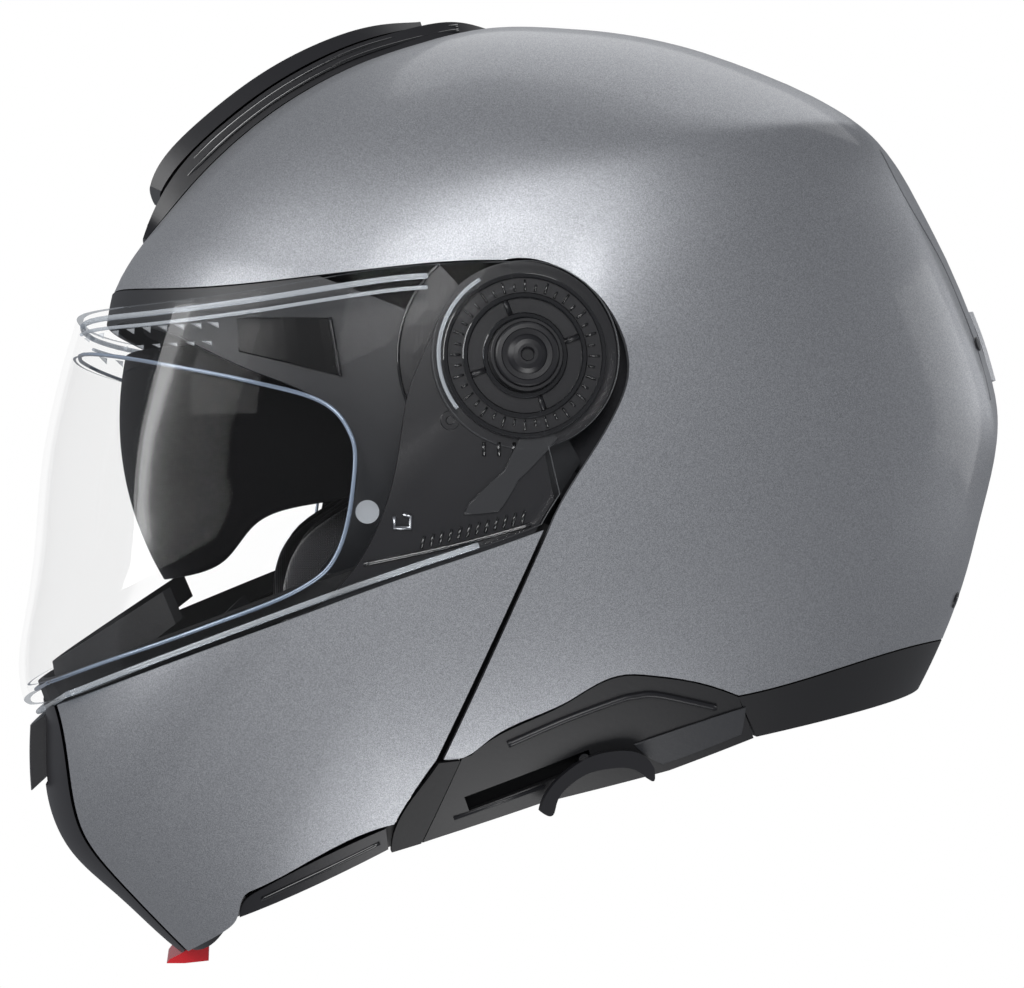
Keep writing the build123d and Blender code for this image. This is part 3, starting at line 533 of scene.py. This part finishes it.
foot_rows = [
    (-0.470, -0.334), (-0.412, -0.311), (-0.326, -0.274), (-0.195, -0.2225), (-0.109, -0.1915),
    (-0.040, -0.1685),
]
seal_under, seal_over, seal_tall = 0.0090, 0.0066, 0.0075
spreads = [-64 + 4 * k for k in range(33)]
verts, faces = [], []
for spread in spreads:
    low = foot_angle("visor", spread, seal_over, foot_rows) - 1.0
    near = at("visor", low, abs(spread), seal_over)
    r = math.hypot(near.y - hinge[0], near.z - hinge[1])
    high = low + math.degrees(seal_tall / r) + 0.5
    hand = 1 if spread >= 0 else -1
    for angle, depth in ((low, seal_over), (high, seal_over), (high, seal_under), (low, seal_under)):
        verts.append(at("visor", angle, abs(spread), depth, hand))
for k in range(len(spreads) - 1):
    for j in range(4):
        a, b = 4 * k + j, 4 * k + (j + 1) % 4
        faces.append((a, b, b + 4, a + 4))
faces += [(3, 2, 1, 0), tuple(range(len(verts) - 4, len(verts)))]
seal = new_object("window_seal", verts, faces, soft_rubber)
face_outwards(seal.data)
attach(seal, "chin_bar")

# Details of the lower trims
# Backing behind the open slot and the seams, beads and a lighter panel on the side covers, and
# the groove of the insert. The relief is moulded in one with each piece.

# A lighter satin that sets the inner panel of the cover apart.
grey_black = plain("grey_black", "2b2c2f", 0.5, grain=0.08)


def plate(name, form, outline, depth, height, finish, body, side=1, chamfer=0.0004, cuts=3):
    """A thin raised plate that follows a form, from its outline in the side view."""
    work = bmesh.new()
    work.faces.new([work.verts.new((0, y, z)) for y, z in outline])
    bmesh.ops.triangulate(work, faces=work.faces)
    if cuts:
        bmesh.ops.subdivide_edges(work, edges=work.edges, cuts=cuts, use_grid_fill=True)
    for v in work.verts:
        v.co = on_form(form, (v.co.y, v.co.z), depth, side) + Vector((side * height, 0, 0))
    rim = [edge for edge in work.edges if edge.is_boundary]
    made = bmesh.ops.extrude_edge_only(work, edges=rim)
    for v in made["geom"]:
        if isinstance(v, bmesh.types.BMVert):
            v.co.x -= side * height
    bmesh.ops.bevel(work, geom=rim, offset=chamfer, segments=2, profile=0.5, affect="EDGES")
    bmesh.ops.recalc_face_normals(work, faces=work.faces)
    data = bpy.data.meshes.new(name)
    work.to_mesh(data)
    work.free()
    if side * sum(f.normal.x * f.area for f in data.polygons) < 0:
        data.flip_normals()
    data.materials.append(finish)
    made = bpy.data.objects.new(name, data)
    bpy.context.scene.collection.objects.link(made)
    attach(made, body)
    return made


def ribbon(name, form, line, half_share, depth, thick, finish, body, side=1):
    """A band of even width that lies under a line on a form."""
    verts, faces = [], []
    for k, (y, z) in enumerate(line):
        ahead, behind = line[min(k + 1, len(line) - 1)], line[max(k - 1, 0)]
        run = math.hypot(ahead[0] - behind[0], ahead[1] - behind[1])
        ny, nz = -(ahead[1] - behind[1]) / run, (ahead[0] - behind[0]) / run
        for out, sink in ((-1, 0), (1, 0), (1, 1), (-1, 1)):
            share = (y + ny * out * half_share, z + nz * out * half_share)
            verts.append(on_form(form, share, depth + sink * thick, side))
    for k in range(len(line) - 1):
        for j in range(4):
            a, b = 4 * k + j, 4 * k + (j + 1) % 4
            faces.append((a, b, b + 4, a + 4))
    faces += [(3, 2, 1, 0), tuple(range(4 * len(line) - 4, 4 * len(line)))]
    made = new_object(name, verts, faces, finish)
    face_outwards(made.data)
    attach(made, body)
    return made


slot_shares = [(-0.050, -0.4005), (0.075, -0.3530)]
gap_line_shares = [(0.024, -0.148), (-0.022, -0.255), (-0.0690, -0.3590), (-0.0900, -0.3960)]
bead_shares = [
    (-0.0102, -0.3440), (0.0385, -0.3230), (0.0863, -0.3060), (0.1040, -0.3020), (0.1258, -0.3015),
    (0.1819, -0.3145),
]
step_shares = [(-0.0560, -0.4120), (0.0250, -0.3830)]
panel_shares = [
    (0.1047, -0.3460), (0.1672, -0.3270), (0.2120, -0.3150), (0.2100, -0.3410), (0.1341, -0.3660),
    (0.1194, -0.3590),
]
corner_shares = [(-0.1300, -0.4280), (-0.1020, -0.4150), (-0.1040, -0.4360), (-0.1240, -0.4460)]
insert_seam_shares = [(-0.108, -0.4150), (-0.193, -0.4585), (-0.234, -0.4835), (-0.243, -0.4925)]
groove_shares = [(-0.226, -0.4915), (-0.190, -0.4710), (-0.122, -0.4340)]
backing_thick = 0.0010
slot_share, slot_depth = 0.014, 0.0052
gap_share, gap_depth = 0.011, 0.0085
insert_share, insert_depth = 0.010, 0.0060
gap_line, insert_line = between(gap_line_shares, 6), between(insert_seam_shares, 6)
for side, hand in hands:
    for name, form, line, half_share, depth, finish, body in (
        ("slot_backing_", "shell", slot_shares, slot_share, slot_depth, matte_black, "shell"),
        ("gap_backing_", "shell", gap_line, gap_share, gap_depth, soft_rubber, "shell"),
        ("insert_backing_", "chin", insert_line, insert_share, insert_depth, matte_black, "chin_bar"),
    ):
        ribbon(name + hand, form, line, half_share, depth, backing_thick, finish, body, side)
    line_on("cover_bead_" + hand, "shell", bead_shares, -0.0002, 0.0010, satin_black, "shell", side)
    line_on("cover_step_" + hand, "shell", step_shares, -0.0002, 0.0006, satin_black, "shell", side, 1)
    plate("cover_panel_" + hand, "shell", panel_shares, 0.0002, 0.0009, grey_black, "shell", side)
    plate(
        "corner_backing_" + hand, "chin", corner_shares, insert_depth, backing_thick, matte_black,
        "chin_bar", side,
    )
    line_on("insert_groove_" + hand, "chin", groove_shares, 0.0005, 0.0006, gloss_black, "chin_bar", side)

# Grooves of the crown vent
# Raised lines that run along the sides of the base and its cover. They are moulded with the
# vent and catch a thin highlight each.


def crown(angle, x, height):
    """A place on the crown of the shell, at a height over it."""
    reach, wide = size_at("shell", angle)
    r = reach * (1 - (abs(x) / wide) ** power) ** (1 / power) + height
    turn = math.radians(angle)
    return Vector((x, hinge[0] - r * math.sin(turn), hinge[1] - r * math.cos(turn)))


vent_rows = [(114, 0.72, 0.40), (125, 1, 1), (140, 1, 1), (160, 0.89, 0.97), (176, 0.67, 0.72)]
for side, hand in hands:
    for k, (out, up) in enumerate(((0.0297, 0.0026), (0.0278, 0.0050))):
        rows = between([(a, side * out * wide, up * tall + 0.0003) for a, wide, tall in vent_rows], 8)
        tube(f"vent_line_{hand}_{k}", [crown(*row) for row in rows], 0.0007, gloss_black, "shell")

# Shields
# Clear moulded visor of hard-coated polycarbonate, its anti-fog lens with a silicone bead
# round it on two pins, and the smoked sun visor behind.


def sheer(name, code, through, rough=0.02, edge=0.6):
    """A thin hard-coated shield: light goes straight through, tinted, and the rim and slants reflect."""
    made, tree, output, place = blank(name)
    haze = node(tree, "ShaderNodeTexNoise", {"Scale": 60.0}, {"Vector": place})
    gloss = node(
        tree, "ShaderNodeMapRange", {"To Min": rough, "To Max": rough + 0.006}, {"Value": haze.outputs["Fac"]}
    )
    clear = node(tree, "ShaderNodeBsdfTransparent", {"Color": colour(code)})
    shine = node(
        tree, "ShaderNodeBsdfGlossy", {"Color": colour("ffffff")}, {"Roughness": gloss.outputs["Result"]}
    )
    # The diffuse share of the tint; where little light goes through, it is a painted milky highlight.
    body = node(tree, "ShaderNodeBsdfDiffuse", {"Color": colour(code)})
    tinted = node(
        tree, "ShaderNodeMixShader", {"Fac": 1 - through},
        {1: clear.outputs["BSDF"], 2: body.outputs["BSDF"]},
    )
    slant = node(tree, "ShaderNodeFresnel", {"IOR": 1.45})
    share = node(tree, "ShaderNodeMath", {1: edge}, {0: slant.outputs["Fac"]}, operation="MULTIPLY")
    mixed = node(
        tree, "ShaderNodeMixShader", None,
        {"Fac": share.outputs["Value"], 1: tinted.outputs["Shader"], 2: shine.outputs["BSDF"]},
    )
    tree.links.new(mixed.outputs["Shader"], output.inputs["Surface"])
    return made


def polar(radius, angle):
    """Share of a place at a radius from the hinge axis, at an angle from straight down."""
    turn = math.radians(angle)
    return -radius * math.sin(turn) / length, -radius * math.cos(turn) / length


# Nearly invisible face on, with a faint reflection at a slant.
clear_shield = sheer("clear_shield", "ffffff", 0.999, edge=0.04)
# The same plastic edge on: real glossy reflections over a milky white body, a painted highlight for its bright
# glints.
clear_rim = sheer("clear_rim", "eef2f6", 0.74, rough=0.04, edge=0.6)
# Grey tint that dims what is behind it.
smoke_shield = sheer("smoke_shield", "55555a", 0.97, rough=0.02, edge=0.18)
# A pale bluish bead that draws the outline of the lens.
seal_bead = plain("seal_bead", "8c9aad", 0.20, metal=0.3, coat=0.6)
# The visor's rims, and the pins, ledges, beads and bumps below, carry the painted milky highlight of the rim
# finish.
dress("visor", clear_shield, "visor", rim=clear_rim)
dress("anti_fog_lens", clear_shield, "visor", rim=seal_bead)
dress("sun_visor", smoke_shield)
dress("lens_pins", clear_rim)
seal_shares = [
    (-0.403, 0.018), (-0.318, -0.003), (-0.238, -0.022), (-0.178, -0.040), (-0.153, -0.066), (-0.148, -0.101),
    (-0.161, -0.170), (-0.195, -0.205), (-0.282, -0.241), (-0.372, -0.275), (-0.425, -0.298),
]
ledge_shares = [(-0.400, 0.0475), (-0.328, 0.0440), (-0.238, 0.0500), (-0.127, 0.0650), (-0.085, 0.0690)]
foot_bead_shares = [
    (-0.405, -0.3060), (-0.326, -0.2715), (-0.195, -0.2200), (-0.109, -0.1890), (-0.040, -0.1660),
]
step_line_shares = [(y, z - 0.010) for y, z in ledge_shares]
seal_depth, seal_radius = 0.0046, 0.00065
ledge_depth, ledge_radius = 0.0026, 0.0009
foot_depth, foot_radius = 0.0024, 0.0009
bump_depth, bump_height, bump_step = 0.0034, 0.0010, 0.0150
for side, hand in hands:
    line = [on_form("visor", share, seal_depth, side) for share in between(seal_shares, 8)]
    tube("lens_seal_" + hand, line, seal_radius, seal_bead, "visor")
    line_on("visor_ledge_" + hand, "visor", ledge_shares, ledge_depth, ledge_radius, clear_rim, "visor", side)
    line_on("visor_step_" + hand, "visor", step_line_shares, 0.0028, 0.0006, clear_rim, "visor", side)
    arc = [on_form("visor", polar(0.0262, a), -0.0001, side) for a in range(52, 150, 4)]
    tube("hub_rim_" + hand, arc, 0.0006, clear_rim, "visor")
    line_on(
        "visor_foot_bead_" + hand, "visor", foot_bead_shares, foot_depth, foot_radius, clear_rim, "visor", side
    )
    for row, first, count, high, tall in ((0, -0.3960, 9, 0.0290, 0.0030), (1, -0.3560, 6, 0.0130, 0.0022)):
        for k in range(count):
            y, wide = first + bump_step * k, 0.0070 + 0.0004 * k
            shares = [(y, high + tall), (y + wide, high + tall), (y + wide, high - tall)]
            name = f"brow_bump_{hand}_{row}_{k}"
            plate(name, "visor", shares, bump_depth, bump_height, clear_rim, "visor", side, cuts=0)

for name, share, depth, radius, finish in (
    ("lens_seal_top", seal_shares[0], seal_depth, seal_radius, seal_bead),
    ("lens_seal_foot", seal_shares[-1], seal_depth, seal_radius, seal_bead),
    ("visor_ledge_front", ledge_shares[0], ledge_depth, ledge_radius, clear_rim),
    ("visor_foot_bead_front", foot_bead_shares[0], foot_depth, foot_radius, clear_rim),
):
    ends = [on_form("visor", share, depth, side) for side in (1, -1)]
    front = at("visor", turn_of(ends[0].y, ends[0].z), 0, depth)
    tube(name, between([ends[0], front, ends[1]], 8), radius, finish, "visor")

# Metal parts and the red levers
# Zinc-plated hinge parts and latches, and the buckle on its woven straps. The release tab and the
# buckle lever are red plastic.


def turned(name, profile, finish, body, side=1, steps=72):
    """A piece turned about the hinge axis, from pairs of radius and distance across."""
    verts, faces = [], []
    n = len(profile)
    for k in range(steps):
        a = 2 * math.pi * k / steps
        for r, x in profile:
            verts.append((side * x, hinge[0] + r * math.cos(a), hinge[1] + r * math.sin(a)))
    for k in range(steps):
        for j in range(n - 1):
            a, b = k * n + j, k * n + j + 1
            c, d = ((k + 1) % steps) * n + j + 1, ((k + 1) % steps) * n + j
            faces.append((a, b, c, d))
    made = new_object(name, verts, faces, finish)
    face_outwards(made.data, merged=True)
    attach(made, body)
    return made


def cloth(name, code, scale=1400.0, strength=0.5):
    """A knitted or woven face: two crossed waves and a soft nap."""
    made, tree, output, place = blank(name)
    weft, warp = (
        node(
            tree, "ShaderNodeTexWave", {"Scale": scale / 3.2, "Distortion": 0.6}, {"Vector": place},
            bands_direction=direction,
        )
        for direction in ("Z", "Y")
    )
    weave = node(
        tree, "ShaderNodeMath", None, {0: weft.outputs["Fac"], 1: warp.outputs["Fac"]}, operation="MULTIPLY"
    )
    nap = node(tree, "ShaderNodeTexNoise", {"Scale": 45.0, "Detail": 5.0}, {"Vector": place})
    paler = [c * 1.7 for c in colour(code)[:3]] + [1]
    tint = node(
        tree, "ShaderNodeMixRGB", {"Color1": colour(code), "Color2": paler}, {"Fac": nap.outputs["Fac"]},
    )
    bump = node(
        tree, "ShaderNodeBump", {"Strength": strength, "Distance": 0.0005}, {"Height": weave.outputs["Value"]}
    )
    shader = node(
        tree, "ShaderNodeBsdfPrincipled", {"Roughness": 0.92, "Sheen Weight": 0.35, "Sheen Roughness": 0.4},
        {"Base Color": tint.outputs["Color"], "Normal": bump.outputs["Normal"]},
    )
    tree.links.new(shader.outputs["BSDF"], output.inputs["Surface"])
    return made


# Plated steel with a bright, slightly brushed shine.
steel = plain("steel", "a4a6aa", 0.28, metal=1.0, grain=0.08)
# The one strong colour: glossy signal red.
red_gloss = plain("red_gloss", "c81d26", 0.22, coat=0.5)
# Coarse woven polyester, close to black.
webbing = cloth("webbing", "141416", 2600.0, 0.8)
for name in ("hinge_plate_left", "hinge_plate_right"):
    dress(name, satin_black)
for name in (
    "striker_pins", "hook_pins", "latch_hook_left", "latch_hook_right", "buckle_frame", "buckle_pin",
    "sun_visor_pins", "hinge_bush_left", "hinge_bush_right",
):
    dress(name, steel)
screw_profile = [
    (0, 0.1152), (0.0040, 0.1152), (0.0040, 0.1312), (0.0091, 0.1312), (0.0094, 0.1315),
    (0.0094, 0.1320), (0.0090, 0.1324), (0.0078, 0.1325), (0.0075, 0.1321), (0.0060, 0.1320),
    (0.0056, 0.1324), (0.0044, 0.1332), (0.0030, 0.1334), (0.0022, 0.1334), (0.0019, 0.1330),
    (0.0018, 0.1318), (0, 0.1318),
]
for side, hand in hands:
    screw = turned("pivot_screw_" + hand, screw_profile, satin_black, "shell", side)
    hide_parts("hinge_screw_" + hand)
dress("release_tab", red_gloss)
dress("buckle_lever", red_gloss)
for name in ("strap_left", "strap_right"):
    dress(name, webbing)

# Pods
# The clear hub of the visor shows its ratchet ring, the round plate and the levers under it.
# Behind it a black panel covers the hinge, and ribs stiffen the arm of the chin bar.

# Painted shade: the darkest finish, for a recess that light does not reach.
deep_black = plain("deep_black", "070708", 0.30, specular=0.25)


def disc(name, share, radius, across, thick, finish, body, inner=0.0, bevel=0.0003, side=1, steps=64):
    """A round plate or ring square to the hinge axis, with rounded rims."""
    y, z = hinge[0] + share[0] * length, hinge[1] + share[1] * length
    rim = min(bevel, thick / 3)
    outline = [(radius, 0), (radius, thick - rim), (radius - rim, thick)]
    outline += [(inner + rim, thick), (inner, thick - rim), (inner, 0)] if inner else [(0.0, thick)]
    verts, faces = [], []
    for s in range(steps):
        a = 2 * math.pi * s / steps
        for r, h in outline:
            verts.append((side * (across + h), y + r * math.cos(a), z + r * math.sin(a)))
    n = len(outline)
    for s in range(steps):
        for k in range(n - 1):
            a, b = s * n + k, s * n + k + 1
            c, d = ((s + 1) % steps) * n + k + 1, ((s + 1) % steps) * n + k
            faces.append((a, b, c, d) if side > 0 else (d, c, b, a))
    made = new_object(name, verts, faces, finish)
    face_outwards(made.data, merged=True)
    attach(made, body)
    return made


recess_shares = [(-0.2500, 0.0372), (-0.1683, 0.0344), (-0.1596, -0.0171), (-0.2480, 0.0063)]
lever_shares = [
    (0.0200, -0.0600), (0.0300, -0.0730), (-0.0046, -0.1092), (-0.0221, -0.1371), (-0.0527, -0.1397),
    (-0.0484, -0.1293), (-0.0178, -0.1005), (-0.0031, -0.0700),
]
bracket_shares = [
    (-0.1135, -0.1410), (-0.1135, -0.1510), (-0.0995, -0.1510), (-0.0995, -0.1410), (-0.1060, -0.1395),
]
arm_edge_shares = [(-0.1400, -0.1830), (-0.060, -0.1660), (0.006, -0.1480)]
plate_face, rib_level, screw_face = 0.1269, 0.1270, 0.1246
arc_outer, arc_inner = 0.0373, 0.0285
arm_depth, rib_radius, edge_radius = 0.0026, 0.0005, 0.0007
for side, hand in hands:
    outline = [polar(arc_outer, 46 + 4 * k) for k in range(24)]
    outline += [polar(arc_inner, 138 - 4 * k) for k in range(24)]
    plate(f"arc_panel_{hand}", "eye", outline, 0.0, 0.0012, satin_black, "shell", side)
    rim = [polar(arc_outer, 46 + 4 * k) for k in range(24)]
    line_on(f"arc_rim_{hand}", "eye", rim, -0.0012, rib_radius, gloss_black, "shell", side, 2)
    for name, outer, thick, inner, steps in (
        ("plate_rim", 0.0246, 0.0007, 0.0232, 96),
        ("ratchet_ring", 0.0188, 0.0010, 0.0172, 96),
        ("pivot_ring", 0.0128, 0.0011, 0.0112, 64),
    ):
        disc(
            f"{name}_{hand}", (0, 0), outer, plate_face, thick, gloss_black, "chin_bar", inner,
            side=side, steps=steps,
        )
    disc(f"pivot_seat_{hand}", (0, 0), 0.0108, 0.13062, 0.0005, satin_black, "visor", 0.0097, side=side)
    for k in range(40):
        a = 2 * math.pi * k / 40
        low, high = (0.0193, 0.0214) if k % 2 else (0.0193, 0.0226)
        tube(
            f"ratchet_rib_{hand}_{k}",
            [(side * rib_level, hinge[0] + r * math.cos(a), hinge[1] + r * math.sin(a)) for r in (low, high)],
            0.0004, gloss_black, "chin_bar", sides=6,
        )
    for k in range(4):
        a = math.radians(20 + 90 * k)
        ends = [
            (side * rib_level, hinge[0] + r * math.cos(a), hinge[1] + r * math.sin(a))
            for r in (0.0128, 0.0172)
        ]
        tube(f"ratchet_spoke_{hand}_{k}", ends, 0.0011, satin_black, "chin_bar", flat=0.6)
    # A flat raised plate in painted shade stands for the recess of the brow.
    plate(f"brow_recess_{hand}", "eye", recess_shares, 0.0, 0.0006, deep_black, "shell", side, cuts=7)
    line_on(f"recess_rim_{hand}", "eye", recess_shares[1:3], -0.0008, rib_radius, satin_black, "shell", side)
    plate(f"release_lever_{hand}", "chin", lever_shares, 0.0028, 0.0009, frame_black, "chin_bar", side)
    line_on(f"bracket_{hand}", "chin", bracket_shares, 0.0024, edge_radius, steel, "chin_bar", side, 1)
    disc(
        f"arm_screw_{hand}", (-0.0652, -0.0571), 0.0030, screw_face, 0.0008, satin_black, "chin_bar", 0.0011,
        side=side,
    )
    for k in range(3):
        y = -0.0355 + 0.0132 * k
        ends = [(y, -0.0760), (y, -0.0880)]
        line_on(f"arm_rib_{hand}_{k}", "chin", ends, arm_depth, 0.0006, gloss_black, "chin_bar", side, 1)
    for k in range(12):
        y = -0.0900 + 0.0080 * k
        z = -0.1690 + 0.0020 * k
        ends = [(y, z), (y + 0.003, z + 0.011)]
        line_on(f"low_rib_{hand}_{k}", "chin", ends, arm_depth, rib_radius, gloss_black, "chin_bar", side, 1)
    line_on(f"arm_edge_{hand}", "chin", arm_edge_shares, arm_depth, edge_radius, gloss_black, "chin_bar", side)

# Linings
# Knit-covered pads snap onto moulded blocks. The blocks are black bead foam, glued in, and a
# woven piping runs round the face of each cheek pad.


def beads(name, code):
    """Moulded foam: the outlines of its pressed beads show faintly."""
    made, tree, output, place = blank(name)
    cells = node(
        tree, "ShaderNodeTexVoronoi", {"Scale": 330.0}, {"Vector": place}, feature="DISTANCE_TO_EDGE"
    )
    bump = node(
        tree, "ShaderNodeBump", {"Strength": 0.35, "Distance": 0.0006}, {"Height": cells.outputs["Distance"]}
    )
    shader = node(
        tree, "ShaderNodeBsdfPrincipled", {"Base Color": colour(code), "Roughness": 0.8},
        {"Normal": bump.outputs["Normal"]},
    )
    tree.links.new(shader.outputs["BSDF"], output.inputs["Surface"])
    return made


# Charcoal foam whose pressed beads show faintly.
foam_black = beads("foam_black", "26262a")
# Soft black knit with a nap that greys at a slant.
knit = cloth("knit", "1d1d20")
for name in ("crown_foam", "cheek_foam_left", "cheek_foam_right", "chin_foam"):
    dress(name, foam_black)


def cushion(name, voxel, rounds):
    """A padded piece: the CAD block with its edges softened."""
    made = dress(name, knit)
    remesh = made.modifiers.new("fuse", "REMESH")
    remesh.mode = "VOXEL"
    remesh.voxel_size = voxel
    relax = made.modifiers.new("relax", "SMOOTH")
    relax.iterations = rounds
    relax.factor = 0.6
    shown = bpy.data.meshes.new_from_object(made.evaluated_get(bpy.context.evaluated_depsgraph_get()))
    made.modifiers.clear()
    made.data = shown
    for face in shown.polygons:
        face.use_smooth = True
    return made


pad_voxel, pad_rounds, pad_fill = 0.0025, 6, 0.8
for name in ("cheek_pad_left", "cheek_pad_right", "crown_pad", "neck_roll"):
    cushion(name, pad_voxel, pad_rounds)
piping_shares = [
    (-0.130, -0.122), (-0.020, -0.088), (0.044, -0.107), (0.060, -0.180), (0.044, -0.254),
    (0, -0.296), (-0.055, -0.310), (-0.105, -0.323), (-0.168, -0.294), (-0.203, -0.230),
    (-0.183, -0.161), (-0.130, -0.122),
]
pad_face, piping_radius = 0.064, 0.0013
for side, hand in hands:
    line = between(piping_shares, 6)[:-1]
    edge = [(side * pad_face, hinge[0] + y * length, hinge[1] + z * length) for y, z in line]
    tube("cheek_piping_" + hand, edge, piping_radius, webbing, "shell", closed=True)

# Chin curtain
# A thin stretch cloth under the chin, with the shallow folds that it has between its clips, and
# a woven hem along its rear edge.
curtain_rows = [(18, 0.500, 0.260), (22, 0.565, 0.300), (26, 0.612, 0.335), (30, 0.6305, 0.3585)]
curtain_top = 0.346


def curtain_at(angle, spread):
    """A place on the curtain: how far across, and how far out from the hinge axis."""
    reach, wide = smooth(curtain_rows, angle)
    turn = math.radians(abs(spread))
    out = ((math.cos(turn) / reach) ** power + (math.sin(turn) / wide) ** power) ** (-1 / power) * length
    return math.copysign(out * math.sin(turn), spread), out * math.cos(turn)


columns = [-33.5 + k * 67 / 66 for k in range(67)]
verts, faces, rows = [], [], 15
curtain_sink, fold_depth, folds_per_turn = 0.001, 0.0009, 14
for spread in columns:
    first = 18.0
    while curtain_at(first, spread)[1] * math.cos(math.radians(first)) < curtain_top * length:
        first += 0.25
    for k in range(rows):
        share = k / (rows - 1)
        angle = first + (30 - first) * share
        x, r = curtain_at(angle, spread)
        r += -curtain_sink + fold_depth * math.sin(math.radians(spread * folds_per_turn)) * (1 - share)
        turn = math.radians(angle)
        verts.append((x, hinge[0] - r * math.sin(turn), hinge[1] - r * math.cos(turn)))
for c in range(len(columns) - 1):
    for k in range(rows - 1):
        a, b = c * rows + k, c * rows + k + 1
        faces.append((a, b, b + rows, a + rows))
curtain = new_object("curtain", verts, faces, knit)
for face in curtain.data.polygons:
    face.use_smooth = True
hem_line = [verts[c * rows] for c in range(0, len(columns), 2)]
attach(curtain, "chin_bar")
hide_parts("chin_curtain")
thick = curtain.modifiers.new("cloth", "SOLIDIFY")
thick.thickness = 0.0008
hem = tube("curtain_hem", hem_line, 0.0011, webbing, "chin_bar")

# Light and camera
# A white studio with five softboxes: ahead, beside the camera, low down, overhead and behind.
# The camera stands at the photograph's place, on the left side and a little ahead of the hinge.
world = bpy.data.worlds.new("studio")
bpy.context.scene.world = world
world.use_nodes = True
sky = world.node_tree
sky.nodes.clear()
seen = node(sky, "ShaderNodeLightPath")
white = node(sky, "ShaderNodeBackground", {"Color": colour("ffffff"), "Strength": 1.0})
soft_light = 0.25
soft = node(sky, "ShaderNodeBackground", {"Color": colour("f4f7ff"), "Strength": soft_light})
either = node(
    sky, "ShaderNodeMixShader", None,
    {"Fac": seen.outputs["Is Camera Ray"], 1: soft.outputs["Background"], 2: white.outputs["Background"]},
)
node(sky, "ShaderNodeOutputWorld", None, {"Surface": either.outputs["Shader"]})
middle = Vector((0, 0, 0.17))
for name, place, size, power_w in (
    ("front_box", (0.55, -1.5, 0.75), 1.1, 17.0),
    ("side_box", (1.5, -0.35, 0.85), 0.8, 15.0),
    ("low_box", (0.85, 0.15, -1.10), 0.9, 12.0),
    ("top_box", (-0.6, 0.3, 1.4), 1.2, 5.0),
    ("rear_box", (-0.3, 1.6, 0.4), 0.9, 5.0),
):
    data = bpy.data.lights.new(name, "AREA")
    data.shape = "SQUARE"
    data.size = size
    data.energy = power_w
    lamp = bpy.data.objects.new(name, data)
    lamp.location = place
    lamp.rotation_mode = "QUATERNION"
    lamp.rotation_quaternion = (middle - Vector(place)).to_track_quat("-Z", "Y")
    bpy.context.scene.collection.objects.link(lamp)
    lamp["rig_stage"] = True

camera_data = bpy.data.cameras.new("camera")
camera_data.lens = 74.78
camera_data.sensor_width = 36.0
camera_data.clip_start = 0.02
camera = bpy.data.objects.new("camera", camera_data)
bpy.context.scene.collection.objects.link(camera)
aside, rise = math.radians(7.6), math.radians(0.67)
look = Vector((-math.cos(aside) * math.cos(rise), math.sin(aside) * math.cos(rise), math.sin(rise)))
camera.location = (0.755, -0.10036, 0.15307)
camera.rotation_mode = "QUATERNION"
camera.rotation_quaternion = look.to_track_quat("-Z", "Y")
bpy.context.scene.camera = camera
bpy.context.scene.view_settings.view_transform = "Standard"

low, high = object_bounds()
